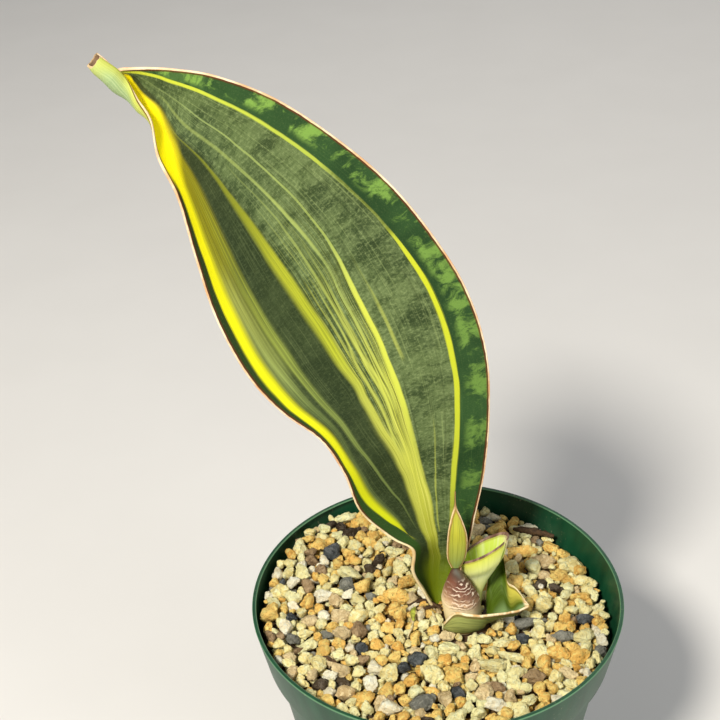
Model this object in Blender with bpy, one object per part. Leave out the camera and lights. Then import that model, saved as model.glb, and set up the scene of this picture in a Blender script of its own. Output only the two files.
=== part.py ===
"""Potted whale fin snake plant: one broad leaf rolled to a tube at its tip, short sheaths round a
ringed knob, and a nursery pot filled with grit. Metres, +Z up, origin at the centre of the pot's
base. Plant points are written in millimetres above the pot's rim plane, and placed by above_rim."""

import math
import random

import bpy
import bmesh
from mathutils import Vector

# Pot
RIM_RADIUS = 0.075
POT_HEIGHT = 0.125
BASE_RADIUS = 0.050
LIP_WIDTH = 0.0017
LIP_HEIGHT = 0.0020
WALL = 0.0013
COLLAR_HEIGHT = 0.021
COLLAR_TAPER = 0.20
COLLAR_STEP = 0.0033
STEP_DROP = 0.0018
FLOOR_THICKNESS = 0.0018
BASE_CORNER = 0.003
POT_SIDES = 64
DRAIN_HOLES = 8
DRAIN_RADIUS = 0.0045
DRAIN_CIRCLE = 0.037
DRAIN_SIDES = 16

# Soil and gravel
CLEARANCE = 0.0003
GRAVEL_LEVEL = -0.0105
GRAVEL_SLOPE_X = -0.055
GRAVEL_SLOPE_Y = 0.020
SOIL_RINGS = (0.35, 0.7, 1.0)
RIPPLE = 0.0006
GRAIN_SPACING = 0.0104
GRAIN_SHIFT = 0.0010
GRAIN_RADIUS = (0.0051, 0.0060)
LOW_GRAIN_RADIUS = 0.0034
GRAIN_LIFT = 0.15
GRAIN_SQUASH = ((0.88, 1.0), (0.8, 0.95), (0.6, 0.78))
GRAIN_ROUGHNESS = 0.88
GRAIN_SEED = 11

# Rhizome crown and the soil's hole round it
CROWN_CENTRE = (9.0, -2.5)
CROWN_HALF_WIDTH = 15.5
CROWN_HALF_DEPTH = 14.0
CROWN_TOP = -11.2
CROWN_BOTTOM = -46.0
CROWN_SIDES = 28
CROWN_FOOT_SHARE = 0.8
HOLE_REACH = 20.0
# Plans, in millimetres, that stay free of grains (centre, half-widths) or take only low ones
BARE_PLANS = (((9.0, -2.5), (18.5, 17.0)), ((-4.0, 4.0), (8.5, 7.5)))
LOW_PLAN = ((30.0, -2.0), (15.0, 18.0))
KNOB_FOOT = (10.8, -3.2)
KNOB_LEAN = (-3.4, 0.8)
KNOB_PROFILE = ((7.4, -12.5), (7.8, -5.0), (7.8, 0.0), (6.3, 5.0), (4.1, 10.0), (2.3, 13.5))
KNOB_TOP = 14.4
KNOB_TIP = 1.2
KNOB_RINGS = 8
KNOB_RING_SPAN = (0.0, 10.5)
KNOB_RING_HEIGHT = 0.25
KNOB_SIDES = 20

# Leaf rows run from base to tip: left margin, right margin, turn of the section in degrees, and
# skew, which draws the curl towards the left margin.
MAIN_LEAF = (
    ((-0.5, 1.5, -10.3), (4.5, 5.0, -10.3), 190, 1.0),
    ((-5.0, 1.0, 0.0), (8.0, 7.5, -3.5), 150, 1.0),
    ((-9.5, 1.0, 10.5), (11.5, 9.0, 6.5), 110, 1.0),
    ((-9.6, 2.0, 21.3), (14.5, 9.0, 19.5), 84, 1.0),
    ((-18.0, 2.0, 28.0), (16.5, 9.0, 32.0), 66, 1.1),
    ((-29.5, 0.0, 43.5), (20.0, 8.0, 55.0), 56, 1.2),
    ((-35.0, -2.0, 63.5), (21.5, 7.0, 83.5), 52, 1.3),
    ((-43.0, -3.0, 80.0), (20.0, 7.0, 110.0), 50, 1.3),
    ((-57.0, -4.0, 94.5), (13.0, 8.0, 135.0), 50, 1.3),
    ((-68.0, -4.0, 111.0), (1.5, 9.0, 156.5), 52, 1.4),
    ((-77.0, -3.0, 134.0), (-13.5, 11.0, 177.0), 56, 1.5),
    ((-82.0, -2.0, 158.0), (-32.0, 13.0, 194.5), 62, 1.6),
    ((-86.0, 0.0, 180.0), (-51.5, 15.0, 208.5), 76, 1.8),
    ((-91.5, 4.0, 193.5), (-70.5, 17.0, 216.5), 105, 2.1),
    ((-93.0, 9.0, 205.0), (-84.0, 18.5, 219.0), 165, 2.3),
    ((-97.0, 12.5, 211.5), (-94.0, 20.0, 219.5), 225, 2.0),
    ((-100.0, 15.0, 216.0), (-101.0, 20.0, 219.5), 275, 1.4),
    ((-103.0, 16.3, 220.0), (-104.5, 19.4, 219.5), 300, 1.0),
    ((-107.0, 16.6, 223.5), (-107.3, 19.4, 222.8), 306, 1.0),
    ((-110.0, 16.8, 226.0), (-110.2, 19.2, 225.6), 306, 1.0),
)
CATAPHYLL = (
    ((9.3, -1.6, 14.9), (5.9, -1.8, 14.9), 110, 1.0),
    ((11.6, -0.6, 19.0), (4.4, -0.6, 19.0), 90, 1.0),
    ((12.4, 0.0, 26.0), (4.4, 0.0, 26.0), 75, 1.0),
    ((11.8, 0.0, 32.0), (5.0, 0.0, 33.0), 70, 1.0),
    ((10.0, 0.6, 38.0), (6.2, 0.6, 39.0), 60, 1.0),
    ((8.2, 1.0, 43.3), (7.4, 1.0, 43.8), 40, 1.0),
)
LOWER_SHEATH = (
    ((1.8, -10.2, -10.6), (2.0, -10.4, -6.5), 20, 1.0),
    ((6.5, -13.0, -10.6), (6.2, -13.4, 1.3), 30, 1.0),
    ((13.5, -12.5, -10.4), (11.5, -14.5, 1.3), 50, 1.0),
    ((19.3, -7.5, -9.9), (16.5, -14.6, 0.5), 85, 1.0),
    ((20.6, 6.0, -6.8), (20.5, -14.4, 0.5), 125, 1.0),
    ((23.0, 10.0, 5.0), (23.8, -14.2, 0.5), 165, 1.0),
    ((27.3, 9.8, 11.5), (27.0, -13.7, 0.3), 185, 1.0),
    ((28.9, 8.6, 3.5), (29.0, -12.9, 0.1), 165, 1.0),
    ((29.6, 6.2, -1.0), (31.2, -12.2, -0.3), 140, 1.0),
    ((32.4, 1.0, 0.2), (33.6, -11.1, -0.5), 105, 1.0),
    ((36.0, -8.4, -0.2), (36.4, -9.8, -0.5), 60, 1.0),
)
# Rolled leaf rings: centre, half-width, half-depth, tilt in degrees.
ROLLED_LEAF = (
    ((16.8, 5.2, -10.8), 1.6, 1.8, 0),
    ((17.1, 5.2, -4.0), 1.8, 1.9, 0),
    ((18.0, 4.9, 2.5), 3.4, 2.4, 10),
    ((18.7, 4.8, 6.8), 6.1, 3.2, 20),
    ((19.5, 3.3, 12.6), 8.9, 4.1, 28),
    ((19.3, 2.8, 20.8), 11.4, 4.9, 31),
)
ROLLED_SEAM_ANGLE = -30
ROLLED_SEAM_GAP = 14
ROLLED_AROUND = 24

LEAF_MIDDLE = 0.0022
LEAF_MARGIN = 0.0010
SHEATH_MIDDLE = 0.0012
SHEATH_MARGIN = 0.0009


def above_rim(x, y, z):
    """A point given in millimetres from the centre of the rim plane."""
    return Vector((x / 1000, y / 1000, POT_HEIGHT + z / 1000))


def clear_scene():
    for found in list(bpy.data.objects):
        bpy.data.objects.remove(found, do_unlink=True)


def make_material(name, colour, roughness):
    material = bpy.data.materials.new(name)
    material.use_nodes = True
    shader = material.node_tree.nodes["Principled BSDF"]
    shader.inputs["Base Color"].default_value = (*colour, 1.0)
    shader.inputs["Roughness"].default_value = roughness
    material.diffuse_color = (*colour, 1.0)
    return material


def add_mesh(name, points, faces, material=None):
    mesh = bpy.data.meshes.new(name)
    mesh.from_pydata([tuple(point) for point in points], [], faces)
    mesh.validate()
    mesh.shade_smooth()
    mesh.set_sharp_from_angle(angle=math.radians(40))
    if material:
        mesh.materials.append(material)
    added = bpy.data.objects.new(name, mesh)
    bpy.context.scene.collection.objects.link(added)
    return added


def turned(profile, sides, centre=(0.0, 0.0), stretch=(1.0, 1.0), lean=(0.0, 0.0)):
    """Points and faces of a profile of (radius, height) turned about a vertical axis, with a flat cap
    at each end. The profile runs so that its outer side goes down. stretch makes the plan an
    ellipse, and lean moves the axis as it rises."""
    points = []
    rings = []
    low = min(height for _, height in profile)
    high = max(height for _, height in profile)
    for radius, height in profile:
        share = (height - low) / (high - low)
        x = centre[0] + lean[0] * share
        y = centre[1] + lean[1] * share
        ring = []
        for side in range(sides):
            angle = math.tau * side / sides
            ring.append(len(points))
            across = radius * stretch[0] * math.cos(angle)
            along = radius * stretch[1] * math.sin(angle)
            points.append((x + across, y + along, height))
        rings.append(ring)
    faces = [tuple(rings[0]), tuple(reversed(rings[-1]))]
    for upper, lower in zip(rings, rings[1:]):
        for side in range(sides):
            after = (side + 1) % sides
            faces.append((upper[side], lower[side], lower[after], upper[after]))
    return points, faces


def outer_radius(height):
    """The pot's outer radius at a height above its base."""
    drop = POT_HEIGHT - height
    if drop <= COLLAR_HEIGHT:
        return RIM_RADIUS - COLLAR_TAPER * drop
    top = RIM_RADIUS - COLLAR_TAPER * COLLAR_HEIGHT
    if drop <= COLLAR_HEIGHT + STEP_DROP:
        return top - COLLAR_STEP * (drop - COLLAR_HEIGHT) / STEP_DROP
    top -= COLLAR_STEP
    share = (drop - COLLAR_HEIGHT - STEP_DROP) / (POT_HEIGHT - COLLAR_HEIGHT - STEP_DROP)
    return top + (BASE_RADIUS - top) * share


def inner_profile(gap):
    """(radius, height) down the pot's inner wall from under the lip, moved inwards and up by gap."""
    ledge = POT_HEIGHT - COLLAR_HEIGHT
    foot = FLOOR_THICKNESS + BASE_CORNER
    heights = (POT_HEIGHT - LIP_HEIGHT, ledge, ledge - STEP_DROP, foot)
    wall = [(outer_radius(height) - WALL - gap, height + gap) for height in heights]
    wall.append((outer_radius(0.0) - WALL - BASE_CORNER - gap, FLOOR_THICKNESS + gap))
    return wall


def boolean(target, operation, other=None, collection=None, solver="EXACT"):
    modifier = target.modifiers.new(operation.title(), "BOOLEAN")
    modifier.operation = operation
    modifier.solver = solver
    if collection:
        modifier.operand_type = "COLLECTION"
        modifier.collection = collection
    else:
        modifier.object = other
    bpy.context.view_layer.update()
    graph = bpy.context.evaluated_depsgraph_get()
    mesh = bpy.data.meshes.new_from_object(target.evaluated_get(graph), depsgraph=graph)
    target.modifiers.clear()
    target.data = mesh


def remove(*objects):
    for found in objects:
        bpy.data.objects.remove(found, do_unlink=True)


def make_pot():
    material = make_material("green_plastic", (0.016, 0.085, 0.045), 0.38)
    ledge = POT_HEIGHT - COLLAR_HEIGHT
    inside = inner_profile(0.0)
    profile = inside[::-1]
    profile.append((RIM_RADIUS - LIP_WIDTH, POT_HEIGHT - LIP_HEIGHT))
    profile.append((RIM_RADIUS - LIP_WIDTH, POT_HEIGHT))
    profile.append((RIM_RADIUS, POT_HEIGHT))
    profile.append((outer_radius(ledge), ledge))
    profile.append((outer_radius(ledge - STEP_DROP), ledge - STEP_DROP))
    profile.append((outer_radius(BASE_CORNER), BASE_CORNER))
    profile.append((outer_radius(0.0) - BASE_CORNER, 0.0))
    pot = add_mesh("pot", *turned(profile, POT_SIDES), material)
    holes = []
    for number in range(DRAIN_HOLES):
        angle = math.tau * number / DRAIN_HOLES
        bpy.ops.mesh.primitive_cylinder_add(
            vertices=DRAIN_SIDES,
            radius=DRAIN_RADIUS,
            depth=4 * FLOOR_THICKNESS,
            location=(DRAIN_CIRCLE * math.cos(angle), DRAIN_CIRCLE * math.sin(angle), 0.0),
        )
        holes.append(bpy.context.object)
    for hole in holes:
        boolean(pot, "DIFFERENCE", hole, solver="MANIFOLD")
    remove(*holes)
    pot.data.set_sharp_from_angle(angle=math.radians(25))
    return pot


def gravel_height(x, y):
    """Height of the soil's top above the pot's base, under its grains."""
    ripple = RIPPLE * math.sin(70 * x + 2.0) * math.cos(85 * y)
    return POT_HEIGHT + GRAVEL_LEVEL + GRAVEL_SLOPE_X * x + GRAVEL_SLOPE_Y * y + ripple


def ring_points(radii, heights):
    """Points round the axis, one to each side of the pot."""
    points = []
    for side, (radius, height) in enumerate(zip(radii, heights)):
        angle = math.tau * side / POT_SIDES
        points.append((radius * math.cos(angle), radius * math.sin(angle), height))
    return points


def soil_fill():
    """The soil without grains: the pot's inside under a gently sloped top."""
    rim = ring_points([RIM_RADIUS] * POT_SIDES, [0.0] * POT_SIDES)
    reach = [outer_radius(gravel_height(x, y)) - WALL - 2 * CLEARANCE for x, y, _ in rim]
    points = [(0.0, 0.0, gravel_height(0.0, 0.0))]
    for share in SOIL_RINGS:
        radii = [share * radius for radius in reach]
        flat = ring_points(radii, [0.0] * POT_SIDES)
        points += ring_points(radii, [gravel_height(x, y) for x, y, _ in flat])
    wall = inner_profile(CLEARANCE)[1:]
    for radius, height in wall:
        points += ring_points([radius] * POT_SIDES, [height] * POT_SIDES)
    bottom = len(points)
    points.append((0.0, 0.0, FLOOR_THICKNESS + CLEARANCE))
    rings = len(SOIL_RINGS) + len(wall)
    faces = []
    for side in range(POT_SIDES):
        after = (side + 1) % POT_SIDES
        faces.append((0, 1 + side, 1 + after))
        lowest = 1 + (rings - 1) * POT_SIDES
        faces.append((lowest + side, bottom, lowest + after))
        for ring in range(rings - 1):
            upper = 1 + ring * POT_SIDES
            lower = upper + POT_SIDES
            faces.append((upper + side, lower + side, lower + after))
            faces.append((upper + side, lower + after, upper + after))
    return points, faces


def inside_plan(x, y, plan):
    """Whether a point, in metres, lies in an ellipse given in millimetres."""
    (centre_x, centre_y), (half_x, half_y) = plan
    return ((1000 * x - centre_x) / half_x) ** 2 + ((1000 * y - centre_y) / half_y) ** 2 < 1


def grain_places(draw):
    """(x, y, radius) of each grain, in rings inwards from the wall, each moved a little at random."""
    places = []
    ring = RIM_RADIUS - GRAIN_SPACING
    while ring > 0:
        count = round(math.tau * ring / GRAIN_SPACING)
        start = draw.uniform(0, math.tau)
        for number in range(count):
            angle = start + math.tau * number / count + draw.uniform(-1, 1) * GRAIN_SHIFT / ring
            away = ring + draw.uniform(-1, 1) * GRAIN_SHIFT
            size = draw.uniform(*GRAIN_RADIUS)
            x = away * math.cos(angle)
            y = away * math.sin(angle)
            if inside_plan(x, y, LOW_PLAN):
                size = LOW_GRAIN_RADIUS
            limit = outer_radius(gravel_height(x, y) - size) - WALL - 2 * CLEARANCE - size
            inwards = min(1.0, limit / away)
            if not any(inside_plan(x, y, plan) for plan in BARE_PLANS):
                places.append((x * inwards, y * inwards, size))
        ring -= GRAIN_SPACING * math.sqrt(0.75)
    return places


def add_grains(material):
    """Loose grains as rough twenty-sided stones, close enough to cover the soil."""
    draw = random.Random(GRAIN_SEED)
    grains = bpy.data.collections.new("grains")
    bpy.context.scene.collection.children.link(grains)
    for x, y, size in grain_places(draw):
        shape = bmesh.new()
        bmesh.ops.create_icosphere(shape, subdivisions=1, radius=size)
        squash = [draw.uniform(*limits) for limits in GRAIN_SQUASH]
        turn = draw.uniform(0, math.tau)
        for vert in shape.verts:
            rough = draw.uniform(GRAIN_ROUGHNESS, 1.0)
            wide = vert.co.x * squash[0] * rough
            deep = vert.co.y * squash[1] * rough
            vert.co.x = x + wide * math.cos(turn) - deep * math.sin(turn)
            vert.co.y = y + wide * math.sin(turn) + deep * math.cos(turn)
            vert.co.z = gravel_height(x, y) + GRAIN_LIFT * size + vert.co.z * squash[2] * rough
        mesh = bpy.data.meshes.new("grain")
        shape.to_mesh(mesh)
        shape.free()
        mesh.materials.append(material)
        grains.objects.link(bpy.data.objects.new("grain", mesh))
    return grains


def crown_plug(grow, top, bottom):
    """Points and faces of the crown's elliptical plug, larger all round by grow, in metres."""
    wide = (CROWN_HALF_WIDTH + grow) / 1000
    ratio = (CROWN_HALF_DEPTH + grow) / (CROWN_HALF_WIDTH + grow)
    high = POT_HEIGHT + top / 1000
    low = POT_HEIGHT + bottom / 1000
    profile = ((wide, high), (wide, low + wide / 3), (wide * CROWN_FOOT_SHARE, low))
    centre = (CROWN_CENTRE[0] / 1000, CROWN_CENTRE[1] / 1000)
    return turned(profile, CROWN_SIDES, centre, (1.0, ratio))


def make_substrate():
    material = make_material("grit", (0.62, 0.50, 0.30), 0.85)
    substrate = add_mesh("substrate", *soil_fill(), material)
    grains = add_grains(material)
    boolean(substrate, "UNION", collection=grains, solver="MANIFOLD")
    remove(*grains.objects)
    bpy.data.collections.remove(grains)
    gap = 1000 * CLEARANCE
    hole = add_mesh("hole", *crown_plug(gap, HOLE_REACH, CROWN_BOTTOM - gap))
    boolean(substrate, "DIFFERENCE", hole)
    remove(hole)
    substrate.data.set_sharp_from_angle(angle=math.radians(20))
    return substrate


def knob_profile():
    """The knob's turned profile in metres, with its scar rings as small ridges."""
    low, high = KNOB_RING_SPAN
    profile = [(KNOB_TIP / 1000, POT_HEIGHT + KNOB_TOP / 1000)]
    rings = [low + (high - low) * step / (2 * KNOB_RINGS) for step in range(2 * KNOB_RINGS + 1)]
    heights = [point[1] for point in KNOB_PROFILE if not low <= point[1] <= high] + rings
    for height in sorted(heights, reverse=True):
        for (r0, h0), (r1, h1) in zip(KNOB_PROFILE, KNOB_PROFILE[1:]):
            if h0 <= height <= h1:
                radius = r0 + (r1 - r0) * (height - h0) / (h1 - h0)
                break
        if height in rings and rings.index(height) % 2:
            radius += KNOB_RING_HEIGHT
        profile.append((radius / 1000, POT_HEIGHT + height / 1000))
    return profile


def make_rhizome():
    material = make_material("rhizome_skin", (0.36, 0.22, 0.12), 0.7)
    rhizome = add_mesh("rhizome", *crown_plug(0.0, CROWN_TOP, CROWN_BOTTOM), material)
    foot = (KNOB_FOOT[0] / 1000, KNOB_FOOT[1] / 1000)
    lean = (KNOB_LEAN[0] / 1000, KNOB_LEAN[1] / 1000)
    knob = add_mesh("knob", *turned(knob_profile(), KNOB_SIDES, foot, lean=lean), material)
    boolean(rhizome, "UNION", knob)
    remove(knob)
    rhizome.data.set_sharp_from_angle(angle=math.radians(50))
    return rhizome


def through(values, position):
    """A smooth curve through evenly numbered values, read at a position between them."""
    last = len(values) - 1
    step = min(int(position), last - 1)
    share = position - step
    before = values[step - 1] if step else values[0] * 2 - values[1]
    after = values[step + 2] if step + 2 <= last else values[last] * 2 - values[last - 1]
    start = values[step]
    end = values[step + 1]
    slope_start = (end - before) / 2
    slope_end = (after - start) / 2
    square = share * share
    cube = square * share
    return (
        start * (2 * cube - 3 * square + 1)
        + slope_start * (cube - 2 * square + share)
        + end * (3 * square - 2 * cube)
        + slope_end * (cube - square)
    )


def section(left, right, tangent, turn, skew, across):
    """(point, normal) along one cross-section, from the left margin to the right one. The section
    turns through an angle in all, bulging to the back, and its normals point to the back."""
    chord = right - left
    back = tangent.cross(chord).normalized()
    ahead = chord.normalized()
    fine = 8
    x = y = 0.0
    places = [(0.0, 0.0)]
    headings = []
    for step in range(across * fine):
        share = (step + 0.5) / (across * fine)
        heading = turn * (0.5 - (1 - (1 - share) ** skew))
        x += math.cos(heading)
        y += math.sin(heading)
        if (step + 1) % fine == 0:
            places.append((x, y))
    for step in range(across + 1):
        share = step / across
        headings.append(turn * (0.5 - (1 - (1 - share) ** skew)))
    end = complex(*places[-1])
    fit = chord.length / end
    found = []
    for place, heading in zip(places, headings):
        moved = complex(*place) * fit
        facing = complex(math.cos(heading), math.sin(heading)) * fit / abs(fit) * 1j
        point = left + ahead * moved.real + back * moved.imag
        found.append((point, ahead * facing.real + back * facing.imag))
    return found


def leaf_rows(stations, spans, across, axis=None):
    """Sections of a leaf: a list of rows of (point, normal), from base to tip. Each section lies
    across axis or, without one, across the curve midway between the margins."""
    lefts = [above_rim(*station[0]) for station in stations]
    rights = [above_rim(*station[1]) for station in stations]
    turns = [math.radians(station[2]) for station in stations]
    skews = [station[3] for station in stations]
    steps = (len(stations) - 1) * spans
    rows = []
    for step in range(steps + 1):
        position = step / spans
        left = through(lefts, position)
        right = through(rights, position)
        before = max(position - 0.5, 0.0)
        after = min(position + 0.5, len(stations) - 1)
        middle_before = through(lefts, before) + through(rights, before)
        middle_after = through(lefts, after) + through(rights, after)
        tangent = axis or (middle_after - middle_before).normalized()
        turn = through(turns, position)
        skew = through(skews, position)
        rows.append(section(left, right, tangent, turn, skew, across))
    return rows


def add_blade(name, rows, middle, margin, material):
    """A closed solid on rows of (point, normal), thicker along its middle than at its margins. Each
    quad is split the same way on both faces, so that the faces never cross."""
    length = len(rows)
    width = len(rows[0])
    points = []
    for side in (-1, 1):
        for row in rows:
            for number, (point, normal) in enumerate(row):
                share = number / (width - 1)
                thickness = margin + (middle - margin) * math.sqrt(4 * share * (1 - share))
                points.append(point + normal * (side * thickness / 2))
    count = length * width
    faces = []
    for i in range(length - 1):
        for j in range(width - 1):
            a = i * width + j
            b = a + 1
            c = a + width + 1
            d = a + width
            faces += [(a, b, c), (a, c, d)]
            faces += [(count + a, count + c, count + b), (count + a, count + d, count + c)]
    border = [(i, 0) for i in range(length - 1)]
    border += [(length - 1, j) for j in range(width - 1)]
    border += [(i, width - 1) for i in range(length - 1, 0, -1)]
    border += [(0, j) for j in range(width - 1, 0, -1)]
    loop = [i * width + j for i, j in border]
    for start, end in zip(loop, loop[1:] + loop[:1]):
        faces += [(start, end, count + end), (start, count + end, count + start)]
    return add_mesh(name, points, faces, material)


def make_main_leaf():
    material = make_material("leaf_green", (0.09, 0.15, 0.05), 0.42)
    rows = leaf_rows(MAIN_LEAF, 2, 14)
    return add_blade("main_leaf", rows, LEAF_MIDDLE, LEAF_MARGIN, material)


def make_cataphyll():
    material = make_material("young_green", (0.45, 0.46, 0.05), 0.45)
    rows = leaf_rows(CATAPHYLL, 2, 8)
    return add_blade("cataphyll", rows, SHEATH_MIDDLE, SHEATH_MARGIN, material)


def make_lower_sheath():
    material = make_material("sheath_green", (0.25, 0.32, 0.08), 0.5)
    rows = leaf_rows(LOWER_SHEATH, 2, 10, Vector((1.0, 0.0, 0.0)))
    return add_blade("lower_sheath", rows, SHEATH_MIDDLE, SHEATH_MARGIN, material)


def rolled_rows():
    """Rings of the rolled leaf, open at its seam, from foot to mouth."""
    spans = 2
    centres = [above_rim(*ring[0]) for ring in ROLLED_LEAF]
    widths = [ring[1] / 1000 for ring in ROLLED_LEAF]
    depths = [ring[2] / 1000 for ring in ROLLED_LEAF]
    tilts = [math.radians(ring[3]) for ring in ROLLED_LEAF]
    first = math.radians(ROLLED_SEAM_ANGLE - ROLLED_SEAM_GAP / 2)
    sweep = math.tau - math.radians(ROLLED_SEAM_GAP)
    rows = []
    for step in range((len(ROLLED_LEAF) - 1) * spans + 1):
        position = step / spans
        centre = through(centres, position)
        wide = through(widths, position)
        deep = through(depths, position)
        tilt = through(tilts, position)
        row = []
        for side in range(ROLLED_AROUND + 1):
            angle = first - sweep * side / ROLLED_AROUND
            right = Vector((math.cos(tilt), 0.0, math.sin(tilt)))
            away = Vector((0.0, 1.0, 0.0))
            point = centre + right * (wide * math.cos(angle)) + away * (deep * math.sin(angle))
            normal = right * (deep * math.cos(angle)) + away * (wide * math.sin(angle))
            row.append((point, normal.normalized()))
        rows.append(row)
    return rows


def make_rolled_leaf():
    material = make_material("rolled_green", (0.42, 0.50, 0.10), 0.45)
    return add_blade("rolled_leaf", rolled_rows(), SHEATH_MIDDLE, SHEATH_MARGIN, material)


def main():
    clear_scene()
    make_pot()
    make_substrate()
    make_rhizome()
    make_main_leaf()
    make_cataphyll()
    make_rolled_leaf()
    make_lower_sheath()


main()
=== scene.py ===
"""Looks for the potted whale fin snake plant: a finer leaf, sheaths, knob, pot and grit round the
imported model, with a pale floor, soft light and the photograph's camera. Metres, +Z up. Plant points
are written in millimetres above the pot's rim plane, as in the part."""

import math
from functools import partial, reduce

import bpy
import numpy as np
from mathutils import Matrix, Vector
from mathutils.kdtree import KDTree


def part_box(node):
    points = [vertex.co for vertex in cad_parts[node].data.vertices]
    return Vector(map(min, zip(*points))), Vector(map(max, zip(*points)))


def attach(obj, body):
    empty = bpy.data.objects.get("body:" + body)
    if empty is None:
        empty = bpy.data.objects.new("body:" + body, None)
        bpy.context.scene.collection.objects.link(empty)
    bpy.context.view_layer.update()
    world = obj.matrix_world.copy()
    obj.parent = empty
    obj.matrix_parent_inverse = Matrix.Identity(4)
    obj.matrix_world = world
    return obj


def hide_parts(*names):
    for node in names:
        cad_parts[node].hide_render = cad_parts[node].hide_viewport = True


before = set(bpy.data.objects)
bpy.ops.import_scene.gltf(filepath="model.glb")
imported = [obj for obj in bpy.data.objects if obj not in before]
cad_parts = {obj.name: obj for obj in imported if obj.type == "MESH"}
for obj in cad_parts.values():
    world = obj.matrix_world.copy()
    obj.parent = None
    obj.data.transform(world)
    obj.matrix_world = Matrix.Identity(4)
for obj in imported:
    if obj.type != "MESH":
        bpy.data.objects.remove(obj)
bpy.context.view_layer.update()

POT_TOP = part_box("pot")[1]
RIM = POT_TOP.z
RIM_RADIUS = POT_TOP.x
MM = 0.001

# Camera
CAMERA_PLACE = (-26.78, -433.85, 379.12)
CAMERA_PITCH = 31.556
CAMERA_ROLL = 2.60
CAMERA_LENS = 70
CAMERA_SENSOR = 36

# Setting: lights by name, place, size, power and colour
LIGHTS = (
    ("key", (-0.60, -0.92, 1.34), 0.28, 35, (1.0, 0.96, 0.88)),
    ("fill", (1.1, -0.8, 0.55), 1.2, 9, (0.96, 0.98, 1.0)),
    ("back", (0.4, 1.3, 1.1), 1.0, 4, (1.0, 0.98, 0.95)),
)
WORLD_COLOUR = (0.88, 0.91, 0.95, 1.0)
WORLD_STRENGTH = 0.27
FLOOR_HALF = 12.0

# Angles in degrees above which an edge is sharp
BLADE_SHARP = 60
POT_SHARP = 50
STONE_SHARP = 42
BED_SHARP = 40

# Pot, as in the part
BASE_RADIUS = 0.050
LIP_WIDTH = 0.0017
LIP_HEIGHT = 0.0020
WALL = 0.0013
COLLAR_HEIGHT = 0.021
COLLAR_TAPER = 0.20
COLLAR_STEP = 0.0033
STEP_DROP = 0.0018
FLOOR_THICKNESS = 0.0018
BASE_CORNER = 0.003
DRAIN_HOLES = 8
DRAIN_RADIUS = 0.0045
DRAIN_CIRCLE = 0.037
POT_SIDES = 192
DRAIN_SIDES = 40
CLEARANCE = 0.0003

# Grit, in millimetres above the rim plane
STONE_LEVEL = -9.6
STONE_SLOPE_X = -0.055
STONE_SLOPE_Y = 0.020
MOUND = (-42, 42, 24, 2.6)
UNDER_LEVEL = -12.6
BED_LEVEL = -13.6
BED_SIDES = 96
SEED = 7
# Stones: (least, most, count) of each size by radius, how close they lie and how often each is tried,
# their gaps from the wall and the rim, and the radius from which a stone has a fine shape
TOP_SIZES = ((3.0, 4.4, 120), (2.1, 3.0, 520), (1.3, 2.1, 330))
UNDER_SIZES = (1.9, 2.9, 700)
PACKING = 0.78
TRIES = 70
WALL_GAP = 0.4
RIM_MARGIN = 2.5
FINE_FROM = 2.5
MARKED_SCALE = 1.1
# Squares along an edge of the ball that a shape is cut from, and how many shapes there are
FINE_SHAPES = (7, 30)
SHAPES = (5, 40)
ROUGH_SHAPES = (3, 20)
BIT_SECTIONS = 16
BIT_SIDES = 12

# Rows from base to tip: left margin, right margin, turn in degrees and skew, as in the part
MAIN_LEAF = (
    ((-0.5, 1.5, -10.3), (4.5, 5.0, -10.3), 190, 1.0),
    ((-5.0, 1.0, 0.0), (8.0, 7.5, -3.5), 150, 1.0),
    ((-9.5, 1.0, 10.5), (11.5, 9.0, 6.5), 110, 1.0),
    ((-9.6, 2.0, 21.3), (14.5, 9.0, 19.5), 84, 1.0),
    ((-18.0, 2.0, 28.0), (16.5, 9.0, 32.0), 66, 1.1),
    ((-29.5, 0.0, 43.5), (20.0, 8.0, 55.0), 56, 1.2),
    ((-35.0, -2.0, 63.5), (21.5, 7.0, 83.5), 52, 1.3),
    ((-43.0, -3.0, 80.0), (20.0, 7.0, 110.0), 50, 1.3),
    ((-57.0, -4.0, 94.5), (13.0, 8.0, 135.0), 50, 1.3),
    ((-68.0, -4.0, 111.0), (1.5, 9.0, 156.5), 52, 1.4),
    ((-77.0, -3.0, 134.0), (-13.5, 11.0, 177.0), 56, 1.5),
    ((-82.0, -2.0, 158.0), (-32.0, 13.0, 194.5), 62, 1.6),
    ((-86.0, 0.0, 180.0), (-51.5, 15.0, 208.5), 76, 1.8),
    ((-91.5, 4.0, 193.5), (-70.5, 17.0, 216.5), 105, 2.1),
    ((-93.0, 9.0, 205.0), (-84.0, 18.5, 219.0), 165, 2.3),
    ((-97.0, 12.5, 211.5), (-94.0, 20.0, 219.5), 225, 2.0),
    ((-100.0, 15.0, 216.0), (-101.0, 20.0, 219.5), 275, 1.4),
    ((-103.0, 16.3, 220.0), (-104.5, 19.4, 219.5), 300, 1.0),
    ((-107.0, 16.6, 223.5), (-107.3, 19.4, 222.8), 306, 1.0),
    ((-110.0, 16.8, 226.0), (-110.2, 19.2, 225.6), 306, 1.0),
)
CATAPHYLL = (
    ((9.3, -1.6, 14.9), (5.9, -1.8, 14.9), 110, 1.0),
    ((11.6, -0.6, 19.0), (4.4, -0.6, 19.0), 90, 1.0),
    ((12.4, 0.0, 26.0), (4.4, 0.0, 26.0), 75, 1.0),
    ((11.8, 0.0, 32.0), (5.0, 0.0, 33.0), 70, 1.0),
    ((10.0, 0.6, 38.0), (6.2, 0.6, 39.0), 60, 1.0),
    ((8.2, 1.0, 43.3), (7.4, 1.0, 43.8), 40, 1.0),
)
AWN = ((7.9, 0.9, 50.5), (7.5, 0.9, 50.5), 20, 1.0)
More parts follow.
